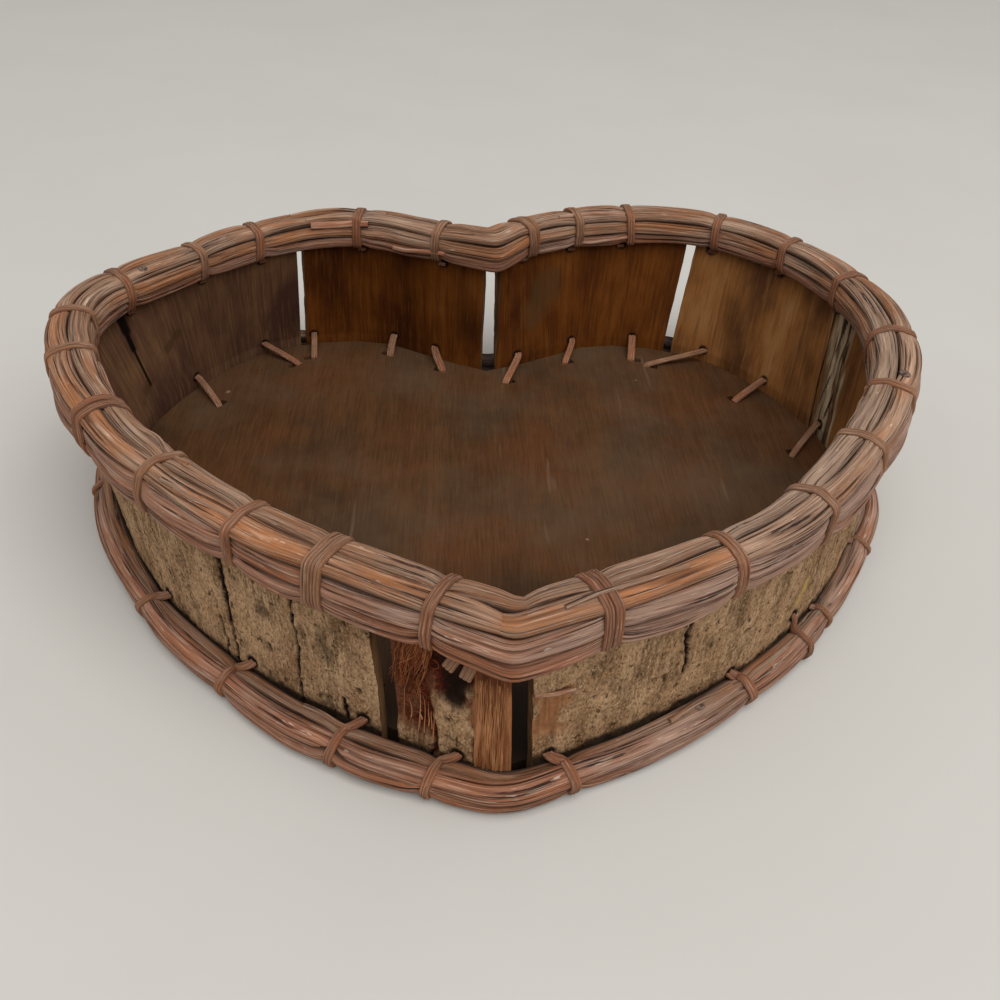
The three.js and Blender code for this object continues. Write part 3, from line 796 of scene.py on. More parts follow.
FOOT_PROFILE = (
    # way along the foot, how far the bundle stands out, fullness across and up
    (0, 0, 1.0, 1.0),
    (240, 0, 1.0, 1.0),
    (285, -1.5, 1.0, 1.0),
    (330, -1.4, 1.0, 1.0),
    (365, 0.2, 1.0, 1.0),
    (395, 1.2, 1.0, 1.0),
    (435, 1.8, 1.0, 1.03),
    (452, 1.2, 1.0, 1.05),
    (471, 4.2, 1.0, 1.08),
    (490, 6.2, 1.0, 1.12),
    (515, 5.6, 1.0, 1.1),
    (546, 2.6, 1.0, 1.0),
    (600, 1.0, 1.0, 1.0),
    (650, 0.2, 1.0, 1.0),
    (foot_line.length, 0, 1.0, 1.0),
)
# Way along the bundle, and how much fresher (or greyer, below 0) its skin is there
RIM_FRESHNESS = ((0, 0.1), (180, 0), (240, -0.9), (430, -1.2), (455, 0), (560, 0), (700, 0.2), (924, 0.1))
FOOT_FRESHNESS = ((0, 0), (250, -0.5), (400, -0.4), (430, 0.8), (452, 1.8), (500, 0.5), (640, 0.1), (904, 0))
RIM_MIDDLE = (0, 68.8)
FOOT_MIDDLE = (6.1, 6.2)
# Places along the foot behind gaps in the wall, where its rods are painted dark as shade
FOOT_GAPS = (0, 99, 816)
RIM_KINKS = (0.0, rim_line.tip)


def down_both_sides(line, stops):
    """Stops by share of the way from the cleft to the tip, as stops by the way round the line."""
    right = [(share * line.tip, *rest) for share, *rest in stops]
    left = [(line.length - share * (line.length - line.tip), *rest) for share, *rest in reversed(stops)]
    return right + left[1:]


rim_bundle = Bundle(
    rim_line, RIM_MIDDLE, RIM_TIES.values(), RIM_SEATS,
    profile=down_both_sides(rim_line, RIM_PROFILE), freshness=RIM_FRESHNESS,
    pinch=1.0, drift=(0.5, 0.5), least_up=58.0, shaded_below=-20.0, open_at=RIM_KINKS, gap_shade_at=(), seed=100)
foot_bundle = Bundle(
    foot_line, FOOT_MIDDLE, FOOT_TIES.values(), FOOT_SEATS, profile=FOOT_PROFILE, freshness=FOOT_FRESHNESS,
    pinch=0.9, drift=(0.9, 0.6), least_up=1.5, shaded_below=3.5, open_at=(), gap_shade_at=FOOT_GAPS, seed=300)
print("rods:", len(RIM_SEATS), "at the rim,", len(FOOT_SEATS), "at the foot")

# %% [markdown]
# Each rod is one strip that goes once round the wall, and its ends meet under a tie. Two rods on top of the
# rim are different: near the tip their ends pass each other in the open, thinned and drawn in.

# %% Make the rods
ROD_STEP = 1.7
END_STAGGER = 7
HIDDEN_GAP = 0.8
OPEN_OVERLAP = -2.0
END_DROP = 1.6
END_SHRINK = 0.25
END_REACH = 12
OPEN_JOINTS = {"top_outer": rim_line.tip + 3, "top_inner": rim_line.tip - 4}


def make_rod(bundle, label, rod, number):
    start, gap, drop = bundle.ties[(number * END_STAGGER) % len(bundle.ties)], HIDDEN_GAP, 0
    seat = label.removeprefix("rim_split_")
    if seat in OPEN_JOINTS:
        start, gap, drop = OPEN_JOINTS[seat], OPEN_OVERLAP, END_DROP
    length = bundle.line.length
    way = np.linspace(start + gap, start + length - gap, round(length / ROD_STEP))
    section, split, tone = rod.outline(way)
    if drop:
        to_end = np.minimum(way[-1] - way, way - way[0])
        near_end = np.clip(1 - to_end / END_REACH, 0, 1)[:, None, None] ** 2
        middle = section.mean(axis=1, keepdims=True)
        section = middle + (section - middle) * (1 - END_SHRINK * near_end) - drop * near_end * rod.away
    rings = bundle.line.place(way[:, None], section[..., 0], section[..., 1])
    piece = strip_from(label, rings, {"split": split, "tone": tone})
    return settle(piece, ROD_FINISHES[rod.colour])


rim_rods = {name: make_rod(rim_bundle, f"rim_split_{name}", rod, number)
            for number, (name, rod) in enumerate(rim_bundle.rods.items())}
foot_rods = {name: make_rod(foot_bundle, f"foot_split_{name}", rod, number)
             for number, (name, rod) in enumerate(foot_bundle.rods.items())}
STANDS_FOR = {
    "outer_low": "rim_rod_outer_lower",
    "outer_high": "rim_rod_outer_upper",
    "inner_low": "rim_rod_inner_lower",
    "inner_high": "rim_rod_inner_upper",
    "top_outer": "rim_rod_cap_outer",
    "top_inner": "rim_rod_cap_inner",
}
for seat, node in STANDS_FOR.items():
    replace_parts(rim_rods[seat], node)
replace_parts(foot_rods["outer_low"], "foot_rod_lower")
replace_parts(foot_rods["outer_high"], "foot_rod_upper")
print("rod faces:", sum(len(piece.data.polygons) for piece in [*rim_rods.values(), *foot_rods.values()]))

# %% [markdown]
# ## Ties
# A tie is one flat strand of split cane, orange brown and a little shiny, with fine ridges along it. At its
# place on the bundle the outline of all the rods is wrapped by the shortest line round them, and the strand
# lies on that line. Below the bundle it goes through a hole in the bark.

# %% Cane finishes and the wrapping line
CANE_COLOURS = {
    "orange": ((176, 113, 74), (168, 118, 88), (188, 116, 66)),
    "brown": ((160, 102, 70), (162, 113, 84), (172, 105, 64)),
    "dun": ((166, 116, 82), (170, 127, 98), (168, 110, 72)),
}
CANES = [strand_finish(f"cane_{label}", colours, 2000.0, 60.0, seed * 3.0, shine=0.38, line_darkness=0.35)
         for seed, (label, colours) in enumerate(CANE_COLOURS.items())]
CANE_WIDTH = 4.0
CANE_DEPTH = 1.6
WRAP_POINTS = 240


def wrap(points):
    """The corners of the tightest line round some points, in order round their middle."""
    ordered = points[np.lexsort((points[:, 1], points[:, 0]))]

    def chain(run):
        kept = []
        for point in run:
            while len(kept) > 1:
                one, two = kept[-1] - kept[-2], point - kept[-1]
                if one[0] * two[1] - one[1] * two[0] > 0:
                    break
                kept.pop()
            kept.append(point)
        return kept[:-1]

    return np.array(chain(ordered) + chain(ordered[::-1]))


def lay_round(bundle, place, start, sweep, count):
    """Points just outside the bundle, from one bearing round to another, as (out, up)."""
    corners = wrap(bundle.around(place))
    middle = corners.mean(0)
    ring = np.vstack([corners, corners[:1]])
    way = distances(ring)
    offset = read_off(np.linspace(0, way[-1], WRAP_POINTS), way, ring) - middle
    bearing = np.arctan2(offset[:, 1], offset[:, 0])
    order = np.argsort(bearing)
    angles = np.radians(np.linspace(start, start + sweep, count))
    folded = (angles + math.pi) % (2 * math.pi) - math.pi
    reach = np.interp(folded, bearing[order], np.linalg.norm(offset, axis=1)[order], period=2 * math.pi)
    return middle + (reach + CANE_DEPTH / 2)[:, None] * np.column_stack([np.cos(angles), np.sin(angles)])


print("corners round the rim:", len(wrap(rim_bundle.around(0.0))))

# %% [markdown]
# The strand's own section is a flat rounded bar with ridges on its outer face. A list of stops, each so far
# along the wall, out and up, is smoothed, and the section is carried along it with its width held along the
# wall.

# %% Sweep the cane along its stops
CANE_FACE_POINTS = 29
CANE_RIDGES = 3
CANE_STEP = 1.2


def cane_section():
    face = np.linspace(0.05, math.pi - 0.05, CANE_FACE_POINTS)
    angle = np.concatenate([face, np.linspace(math.pi + 0.3, 2 * math.pi - 0.3, 5)])
    across = np.cos(angle)
    deep = np.sign(np.sin(angle)) * np.abs(np.sin(angle)) ** 0.5
    furrow = np.where(deep > 0, 0.5 + 0.5 * np.cos(2 * math.pi * CANE_RIDGES * (across + 1) / 2), 0) ** 2
    return across / 2, (deep - 0.4 * furrow * (deep > 0)) / 2, furrow


def strand(name, points, width_towards, width, finish, slot="tie", furrows=0.38):
    """One flat strand along points in millimetres, with its width turned towards a direction."""
    ahead = unit(np.gradient(points, axis=0))
    across = unit(width_towards - (width_towards * ahead).sum(1)[:, None] * ahead)
    out = np.cross(across, ahead)
    wide, deep, furrow = cane_section()
    rings = (points[:, None] + wide[None, :, None] * width * across[:, None]
             + deep[None, :, None] * CANE_DEPTH * out[:, None])
    piece = strip_from(name, rings, {"split": np.repeat(furrow[None] * furrows, len(points), axis=0)})
    return settle(piece, finish)


def wall_strand(name, line, way, stops, width, finish, **looks):
    course = even_steps(stops, CANE_STEP)
    place = way + course[:, 0]
    points = line.place(place, course[:, 1], course[:, 2])
    normal = line.outward(place)
    along = np.column_stack([normal[:, 1], -normal[:, 0], np.zeros(len(place))])
    return strand(name, points, along, width, finish, **looks)


print("points round the cane:", len(cane_section()[0]))

# %% [markdown]
# A tie of the rim starts inside the bark, goes over the bundle and comes back through a hole below it. A few
# go round twice. All lean a little towards the tip, and now and then a short tail hangs down inside.

# %% Ties over the rim
HALF_BARK = 1.8
# Bearing where the loop starts, how far it turns, and its points
RIM_LOOP = (-112, -318, 30)
RIM_HOLE_DROP = 12.2
TURN_WIDTH = 0.84
# Ties of two turns, and how far apart the turns lie
DOUBLE_TIES = {"rim_tie_right_1": 3.2, "rim_tie_right_12": 3.1, "rim_tie_left_8": 4.4, "rim_tie_left_11": 3.2}
TIE_SLANT = 3.2
TIE_LEAD = 1.3
TAIL_CHANCE = 0.15


def rim_hole_up(way):
    """How high the hole under the rim is: lower where the bundle is fuller."""
    return RIM_MIDDLE[1] - RIM_HOLE_DROP * rim_bundle.profile(way)[2]


def rim_tie(name, way, rng):
    turns = 2 if name in DOUBLE_TIES else 1
    hole_up = rim_hole_up(way)
    slant = TIE_SLANT * rng.uniform(0.4, 1.5)
    towards_tip = np.sign(rim_line.tip - way)
    stops = []
    for turn in range(turns):
        shift = (turn - (turns - 1) / 2) * DOUBLE_TIES.get(name, 0)
        loop = lay_round(rim_bundle, way + shift, *RIM_LOOP)
        slide = shift + towards_tip * np.linspace(TIE_LEAD + slant / 2, TIE_LEAD - slant / 2, len(loop))
        if turn == 0:
            stops.append((slide[0], -(HALF_BARK + 0.8), hole_up + 1.6))
        stops.extend(np.column_stack([slide, loop]))
        stops.append((slide[-1], HALF_BARK + 1.4, hole_up + 0.4))
        stops.append((slide[-1], -(HALF_BARK + 0.9), hole_up))
    if rng.random() < TAIL_CHANCE:
        end = stops[-1][0]
        curl = rng.uniform(-2.5, 2.5)
        stops.append((end + curl * 0.3, -(HALF_BARK + 2.4), hole_up - 2))
        stops.append((end + curl, -(HALF_BARK + 2.4), hole_up - rng.uniform(3, 5)))
    width = CANE_WIDTH * rng.uniform(0.86, 1.06) * (TURN_WIDTH if turns > 1 else 1)
    piece = wall_strand(name.replace("tie", "cane"), rim_line, way, stops, width, CANES[rng.integers(3)])
    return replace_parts(piece, name)


chance = np.random.default_rng(11)
rim_canes = [rim_tie(name, way, chance) for name, way in RIM_TIES.items()]
print("rim ties:", len(rim_canes))

# %% [markdown]
# A tie of the foot comes through the bark just above the bundle, goes round it and under the board, and comes
# up through a hole in the board. Near the tip of the heart it leans towards the tip. Its holes in the bark
# are noted for the bark's finish.

# %% Ties round the foot
BARK_HOLE_UP = 12.9
FOOT_LOOP = (118, -208, 18)
BOARD_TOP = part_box("heart_board")[1].z / MM
UNDERSIDE = CANE_DEPTH / 2 + 0.02
FOOT_LEAN = 6.0
LEAN_FADES = (200, 320)
FOOT_CANE = 0.85
THIN_TIES = ("foot_tie_right_7", "foot_tie_right_8")
THIN_CANE = 0.5
foot_holes = []


def pierce(way, up):
    foot_holes.extend(foot_line.place(way, side * HALF_BARK, up) for side in (-1, 1))


def board_hole(name):
    corners = solid_corners(name)
    level = corners[(corners[:, 2] > BOARD_TOP - 0.8) & (corners[:, 2] < BOARD_TOP + 2.2)]
    inside = np.linalg.norm(level[:, :2], axis=1).argsort()[:4]
    return level[inside].mean(0)[:2]


def foot_tie(name, way, rng):
    hole = np.append(board_hole(name), 0)
    lean = FOOT_LEAN * rng.uniform(0.6, 1.2) * np.sign(foot_line.tip - way)
    lean *= 1 - np.clip((abs(foot_line.tip - way) - LEAN_FADES[0]) / np.ptp(LEAN_FADES), 0, 1)
    pierce(way + lean, BARK_HOLE_UP)
    loop = lay_round(foot_bundle, way, *FOOT_LOOP)
    loop[:, 1] = np.maximum(loop[:, 1], UNDERSIDE)
    slide = lean * np.linspace(0.55, 0, len(loop)) ** 2
    stops = [(lean, -(HALF_BARK + 1.2), BARK_HOLE_UP), (lean, HALF_BARK + 0.8, BARK_HOLE_UP - 0.4)]
    stops.extend(np.column_stack([slide, loop]))
    stops.append((0, -(HALF_BARK + 1), UNDERSIDE))
    turns = np.array([foot_line.place(way + place, out, up) for place, out, up in stops])
    heading = unit((turns[0] - hole) * (1, 1, 0))
    below = hole + np.array([0, 0, UNDERSIDE])
    above = hole + np.array([0, 0, BOARD_TOP])
    risers = [below - heading * 7, below - heading * 1.5, above - (0, 0, 1), above + heading + (0, 0, 1)]
    points = even_steps(np.vstack([risers, turns]), CANE_STEP)
    points[:, 2] = np.maximum(points[:, 2], UNDERSIDE)
    normal = foot_line.outward(way)
    along = np.repeat([[normal[1], -normal[0], 0.0]], len(points), axis=0)
    width = CANE_WIDTH * (THIN_CANE if name in THIN_TIES else FOOT_CANE * rng.uniform(0.85, 1.1))
    piece = strand(name.replace("tie", "cane"), points, along, width, CANES[rng.integers(3)], furrows=0.2)
    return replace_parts(piece, name)


foot_canes = [foot_tie(name, way, chance) for name, way in FOOT_TIES.items()]
print("foot ties:", len(foot_canes))

# %% [markdown]
# One thin tie more at the right has no solid. It leaves the bark higher up, hooks round the foot and ends
# there.

# %% A loose tie that hooks round the foot
HOOK_LOOP = (118, -190, 18)
HOOK_WAY = 334.0
HOOK_LEAN = 2.5
HOOK_HOLE_UP = 18.0


def hooked_tie(name):
    loop = lay_round(foot_bundle, HOOK_WAY, *HOOK_LOOP)
    loop[:, 1] = np.maximum(loop[:, 1], UNDERSIDE + 0.3)
    slide = HOOK_LEAN * np.linspace(0.8, 0, len(loop))
    stops = [(HOOK_LEAN, -(HALF_BARK + 0.8), HOOK_HOLE_UP), (HOOK_LEAN, HALF_BARK + 1.0, HOOK_HOLE_UP - 0.4)]
    stops.extend(np.column_stack([slide, loop]))
    pierce(HOOK_WAY + HOOK_LEAN, HOOK_HOLE_UP)
    return wall_strand(name, foot_line, HOOK_WAY, stops, CANE_WIDTH * THIN_CANE, CANES[1], furrows=0.2)


foot_canes.append(hooked_tie("foot_cane_hooked"))
print("hooked tie at", HOOK_WAY, "mm along the foot")

# %% [markdown]
# ## Finishes of the bark
# Outside, the bark is tan and grainy, with pale flecks and pits painted dark as shade. Where it has been torn
# it shows fibrous orange wood or a dark red core. Inside it is smooth wood with streaks that run up the wall.
# Values stored on the mesh tell the finish where shade is painted into pits, cracks, holes and the crevice
# above the foot, where a few stains lie, and where the bare wood and the red core are.

# %% Bark finishes
def bark_outside():
    finish, tree, shader = new_finish("bark_outside", 0.95)
    blotch = cloud(tree, 90.0, (1, 1, 0.5), detail=6.0)
    fleck = cloud(tree, 1250.0, (1, 1, 0.6), detail=5.0, roughness=0.75)
    pit_shade = cloud(tree, 480.0, (1, 1, 0.6), shift=2.0, detail=3.0)
    streaky = cloud(tree, 45.0, shift=7.0)
    grime = cloud(tree, 170.0, (1, 1, 0.4), shift=11.0)
    fibre = wall_cloud(tree, 750.0, 0.05, 0.0)
    base = between(tree, blotch, 0.36, 0.62, (152, 116, 82), (198, 160, 122))
    strands = between(tree, fibre, 0.42, 0.58, (106, 78, 54), (200, 164, 126))
    base = mix(tree, spread(tree, streaky, 0.46, 0.60, 0, 0.6), base, strands)
    base = layers(tree, base, (
        (grime, 0.36, 0.48, 0.5, 0, (84, 60, 38)),
        (fleck, 0.36, 0.49, 0.85, 0, (80, 56, 36)),
        (fleck, 0.54, 0.66, 0, 0.75, (218, 186, 146)),
        # Painted shade in small pits
        (pit_shade, 0.32, 0.36, 0.8, 0, (60, 40, 24)),
    ))
    wood = between(tree, fibre, 0.36, 0.64, (128, 78, 48), (180, 122, 80))
    base = mix(tree, stored(tree, "bare"), base, wood)
    core = between(tree, fleck, 0.40, 0.60, (46, 14, 8), (112, 48, 26))
    base = mix(tree, stored(tree, "core"), base, core)
    base = mix(tree, stored(tree, "yellow"), base, tint(200, 164, 92))
    # Painted shade in pits, cracks, holes and the crevice above the foot, and a few stains
    colour = mix(tree, stored(tree, "shade_and_stain"), base, tint(26, 16, 10))
    connect(tree, shader, colour, fleck, 1.0, 0.9)
    return finish


def bark_inside(label, main, light, dark, seed):
    finish, tree, shader = new_finish(f"bark_inside_{label}", 0.7)
    streak = wall_cloud(tree, 300.0, 0.09, seed, detail=6.0, roughness=0.65)
    blotch = cloud(tree, 34.0, (1, 1, 0.6), seed, detail=6.0)
    thread = wall_cloud(tree, 800.0, 0.05, seed + 1.5, detail=5.0, roughness=0.6)
    base = layers(tree, between(tree, blotch, 0.36, 0.56, dark, main), (
        (blotch, 0.56, 0.68, 0, 0.7, light),
        (streak, 0.34, 0.48, 0.5, 0, dark),
        (streak, 0.55, 0.68, 0, 0.35, light),
        (thread, 0.36, 0.47, 0.45, 0, dark),
        (thread, 0.54, 0.66, 0, 0.4, light),
    ))
    wood = between(tree, streak, 0.42, 0.58, (92, 70, 50), (190, 172, 142))
    base = mix(tree, stored(tree, "bare"), base, wood)
    base = mix(tree, stored(tree, "core"), base, tint(80, 58, 34))
    # Painted shade at the tie holes, in cracks and along the split edge, with some dark blotches of the wood
    colour = mix(tree, stored(tree, "shade_and_stain"), base, tint(18, 10, 6))
    connect(tree, shader, colour, streak, 0.5, 0.6)
    return finish


BARK_OUTSIDE = bark_outside()
BARK_END = streaked_finish("bark_end", 0.85, (78, 54, 34), (122, 92, 62), 400.0, (1, 1, 0.12), 4.0)
ORANGE_WOOD = bark_inside("orange", (106, 58, 17), (128, 77, 30), (66, 31, 9), 0.0)
TAN_WOOD = bark_inside("tan", (146, 96, 50), (164, 120, 76), (92, 58, 34), 3.0)
MAUVE_WOOD = bark_inside("mauve", (110, 78, 56), (138, 104, 68), (76, 50, 40), 6.0)
print("bark finishes ready")

# %% [markdown]
# ## Bark
# Each panel is a slab. A grid is bent to the wall and given its thickness with Solidify, and then every point
# of its outer face is moved in or out by noise in several sizes: long swells, lumps, grains and pits. Noise
# can come from Blender's texture or from the modifier, but here the same numbers also go on the mesh, so the
# finish can paint shade into the very same hollows.

# %% Noise in space and marks on the wall
def bumps(points, size, seed):
    """Smooth noise between -1 and 1 at points in millimetres, with lumps of the given size."""
    scaled = points / size
    cell = np.floor(scaled).astype(np.int64)
    part = scaled - cell
    part = part * part * (3 - 2 * part)
    total = np.zeros(len(points))
    for corner in itertools.product((0, 1), repeat=3):
        key = (cell + corner) @ np.array([73856093, 19349663, 83492791]) + seed * 2654435761
        key = (key ^ (key >> 13)) * 1274126177
        value = ((key ^ (key >> 16)) & 65535) / 65535
        total += value * np.where(corner, part, 1 - part).prod(1)
    return total * 2 - 1


def near_line(place, stops):
    """How far places on the wall, as (way, up), lie from a line through some stops."""
    best = np.full(len(place), np.inf)
    for start, end in zip(stops, stops[1:]):
        start, run = np.array(start), np.array(end) - np.array(start)
        share = np.clip((place - start) @ run / (run @ run), 0, 1)
        best = np.minimum(best, np.linalg.norm(place - start - share[:, None] * run, axis=1))
    return best


def soft(value, low, high):
    share = np.clip((value - low) / (high - low), 0, 1)
    return share * share * (3 - 2 * share)


def mark(place, line, full, none):
    """1 within a share of the line's half width, falling to 0 at another share of it."""
    half_width, *stops = line
    return 1 - soft(near_line(place, stops), half_width * full, half_width * none)


# Cracks in the outer face: half width, then the places they run through, as (way along the foot, up)
CRACKS = [
    (1.3, (548.5, 62), (548, 40)),
    (1.1, (548, 40), (547.5, 27)),
    (0.7, (547.5, 27), (547, 18), (547.5, 8)),
    (0.6, (553, 26), (552.5, 14), (553, 2)),
    (0.8, (503, 18), (503.3, 10)),
    (0.6, (518, 60), (519.5, 45), (519, 31), (520, 17), (520, 3)),
    (0.7, (396, 56), (395, 46), (393.5, 36), (393, 27)),
    (0.5, (602, 58), (600, 44), (601, 32)),
    (0.5, (330, 60), (331, 46), (329, 30)),
]
INSIDE_CRACKS = [
    (2.6, (719, 62), (718.5, 52)),
    (1.7, (718.5, 52), (718, 43)),
    (0.7, (718, 43), (718, 24)),
    (0.5, (188, 60), (187, 30), (188, 8)),
]
STAINS = ((532, 42), (508, 38))
# On the inner face: a scar, a dull patch, and the places where a split edge starts and ends
INSIDE_SCAR = ((742, 40), (726, 30), (709, 20))
DULL_PATCH = ((24, 30), (32, 44))
SPLIT_STARTS = (186, 192)
SPLIT_ENDS = (203, 206)
# Heights over which the bark is painted dark with the foot's shade, and how much higher that shade reaches on
# the right of the tip
CREVICE_SHADE = (9.0, 12.0)
CREVICE_SHADE_RISE = 1.8
BORED_HOLE = (1.9, (394, 53.5), (394.1, 53.7))
YELLOW_STREAK = (2.0, (338.5, 25), (337, 33))
SCAR_SHELF = (1.0, (446, 45.5), (440, 44.5), (431, 41.5))
SCAR_FACE = (432, 446, 22, 43)
print("cracks:", len(CRACKS))


# %% Shape a panel
LEAN_START = 12.0
LEAN_END = 59.0
BARK_FOOT = 1.6
BARK_TOP = 74.2
SLAB_TOP = 71.5
BARK_GRID = 0.68


def panel_ends(node):
    corners = solid_corners(node)
    ends = []
    for line, level in ((foot_line, BARK_FOOT), (rim_line, BARK_TOP)):
        ways = np.array([line.nearest(corner) for corner in corners[np.abs(corners[:, 2] - level) < 0.2]])
        if np.ptp(ways) > line.length / 2:
            ways = np.where(ways < line.length / 2, ways + line.length, ways)
        ends.append((ways.min(), ways.max()))
    return ends


def panel_middle(foot_way, rim_way, height):
    lean = np.clip((height - LEAN_START) / (LEAN_END - LEAN_START), 0, 1)[..., None]
    still = np.zeros_like(height)
    low = foot_line.place(foot_way, still, height)
    high = rim_line.place(rim_way, still, height)
    normal = unit(foot_line.outward(foot_way) * (1 - lean) + rim_line.outward(rim_way) * lean)
    return low * (1 - lean) + high * lean, normal


def hole_shade(points, radius):
    """1 at the holes where the foot ties pass through the bark, and 0 away from them."""
    gap = np.min([np.linalg.norm(points - hole, axis=1) for hole in foot_holes], axis=0)
    return 1 - soft(gap, radius, radius * 1.6)


def outside_relief(points, place, seed):
    """How far each point of the outer face stands out, and the values for its finish."""
    stretch = points * (1, 1, 0.7)
    grains = bumps(stretch, 1.7, seed)
    gather = soft(bumps(stretch, 9, seed + 8), -0.5, 0.5)
    pits = np.clip(bumps(stretch, 1.9, seed + 1) - 0.74 + gather * 0.3, 0, 1) * 1.9
    rough = bumps(stretch, 24, seed + 2) * 0.7 + bumps(stretch, 7, seed + 3) * 0.45
    fine = grains * 0.32 + bumps(stretch, 1.2, seed + 4) * 0.22 - pits
    # Painted shade in the pits and the low points of the grain, and at the foot ties' holes
    shade_and_stain = np.clip(pits * 1.1 + np.clip(-grains - 0.5, 0, 1) * 0.4, 0, 0.85)
    shade_and_stain = np.maximum(shade_and_stain, hole_shade(points, 2.0))
    # Painted shade low on the bark, where the foot bundle shades it
    drawn_off = np.where(place[:, 0] < foot_line.tip, CREVICE_SHADE_RISE, 0)
    crevice_shade = 1 - soft(place[:, 1] + bumps(points, 6, seed + 9) * 1.2 - drawn_off, *CREVICE_SHADE)
    shade_and_stain = np.maximum(shade_and_stain, crevice_shade * 0.9)
    for stain in STAINS:
        gap = np.linalg.norm((place - stain) * (1, 0.6), axis=1) + bumps(points, 4, seed + 10) * 2
        shade_and_stain = np.maximum(shade_and_stain, 0.55 * (1 - soft(gap, 1, 5)))
    # Cracks and the bored hole sink in and are painted black with shade
    for half_width, *stops in [*CRACKS, BORED_HOLE]:
        wander = bumps(points, 5, seed + 5) * 0.8 + bumps(points, 1.7, seed + 6) * 0.4
        gap = near_line(place + wander[:, None] * (1, 0), stops)
        fine -= 1 - soft(gap, half_width * 0.4, half_width * 1.2)
        shade_and_stain = np.maximum(shade_and_stain, 1 - soft(gap, half_width * 0.85, half_width * 1.2))
    fine += mark(place, SCAR_SHELF, 0.4, 1.6) * 0.9
    start, end, low, high = SCAR_FACE
    inside = soft(place[:, 0], start - 1.5, start + 1.5) * soft(-place[:, 0], -end - 1.5, -end + 1.5)
    inside *= soft(place[:, 1], low - 3, low + 3) * soft(-place[:, 1], -high - 1, -high + 1)
    bare = inside * soft(bumps(stretch, 5, seed + 7), -0.5, 0.3)
    yellow = mark(place, YELLOW_STREAK, 0.4, 1.4)
    out = rough + fine * (1 - 0.7 * bare) - 0.7 * bare
    return out, shade_and_stain * (1 - 0.6 * bare), bare * 0.8, bare * 0, yellow * 0.8


print("bark between", BARK_FOOT, "and", SLAB_TOP, "mm")

# %% [markdown]
# The panel at the tip is torn. Its right third is a band of straight fibres, its middle keeps a patch of
# grainy bark, and its left side and upper part are torn back to a dark red core.

# %% The torn panel, and the inside of all panels
TIP_BAND_END = 0.29
TIP_PATCH_END = 0.69
TIP_PATCH_TOP = 37
TIP_HOLE = (3.0, (463, 50), (464.5, 44), (467, 37))


def torn_relief(points, place, seed, across):
    relief, shade_and_stain, *_ = outside_relief(points, place, seed)
    wander = bumps(points, 6, seed + 11) * 0.05 + bumps(points, 2, seed + 12) * 0.03
    across = across + wander
    band = 1 - soft(across, TIP_BAND_END - 0.02, TIP_BAND_END + 0.03)
    patch_top = TIP_PATCH_TOP + bumps(points, 7, seed + 13) * 7
    patch = soft(across, TIP_BAND_END, TIP_BAND_END + 0.04)
    patch *= 1 - soft(across, TIP_PATCH_END - 0.05, TIP_PATCH_END)
    patch *= 1 - soft(place[:, 1], patch_top - 2, patch_top + 2)
    left_low = soft(across, TIP_PATCH_END, TIP_PATCH_END + 0.05) * (1 - soft(place[:, 1], 14, 22))
    kept = np.maximum(patch, left_low * 0.9)
    torn = np.clip(1 - band - kept, 0, 1)
    torn_top = band * soft(place[:, 1], 44, 50)
    ridges = bumps(points * (1, 1, 0.05), 0.9, seed + 14)
    cavity = np.clip(bumps(points * (1, 1, 0.5), 5, seed + 15) + 0.1, 0, 1)
    out = kept * (relief + 0.8) + band * (ridges * 0.4 + 0.1) - torn * (0.8 + cavity * 1.6) - torn_top * 0.8
    core = np.clip(torn * (0.8 + cavity) + torn_top * 0.7, 0, 1)
    # Painted shade in the cavities of the torn core, and in the hole
    dark = np.maximum(shade_and_stain * kept, torn * np.clip(cavity * 1.4 - 0.35, 0, 0.9))
    hole = mark(place + wander[:, None] * 30, TIP_HOLE, 0.6, 1.5)
    return out - hole, np.maximum(dark, hole * 0.95), np.clip(band + torn * 0.4, 0, 1), core, core * 0


def inside_relief(points, place, seed):
    wave = bumps(points * (1, 1, 0.4), 14, seed + 21) * 0.4
    wave += bumps(points * (1, 1, 0.12), 2.2, seed + 22) * 0.16
    shade_and_stain = np.clip(bumps(points * (1, 1, 0.3), 9, seed + 23) - 0.55, 0, 1) * 0.9
    # Painted shade at the holes where the rim ties pass through, and at the foot ties' holes
    for way in RIM_TIES.values():
        gap = np.linalg.norm(points - rim_line.place(way, -HALF_BARK, rim_hole_up(way) + 0.6), axis=1)
        shade_and_stain = np.maximum(shade_and_stain, 1 - soft(gap, 1.8, 3.4))
    shade_and_stain = np.maximum(shade_and_stain, hole_shade(points, 1.8))
    # Painted shade in the cracks of the inner face
    for crack in INSIDE_CRACKS:
        shade_and_stain = np.maximum(shade_and_stain, mark(place, crack, 0.6, 1.3))
    jagged = place[:, 0] + bumps(points * (1, 1, 0.12), 2.4, seed + 27) * 2.2
    split_edge = soft(jagged, *SPLIT_STARTS) * (1 - soft(jagged, *SPLIT_ENDS))
    ragged = split_edge * bumps(points * (1, 1, 0.06), 1.6, seed + 24)
    # Painted shade in the low parts of the split edge
    shade_and_stain = np.maximum(shade_and_stain, split_edge * soft(-ragged, 0.25, 0.6) * 0.9)
    scar = 1 - soft(near_line(place, INSIDE_SCAR), 1.2, 3.0)
    scar *= soft(bumps(points, 4, seed + 25), -0.4, 0.2) * 0.3
    dull = 1 - soft(near_line(place, DULL_PATCH) + bumps(points, 5, seed + 26) * 3, 3, 9)
    return wave + ragged * 0.8, shade_and_stain, split_edge * 0.85, np.maximum(dull * 0.6, scar * 2.4), dull * 0


print("torn panel:", round(TIP_PATCH_TOP), "mm of kept bark")


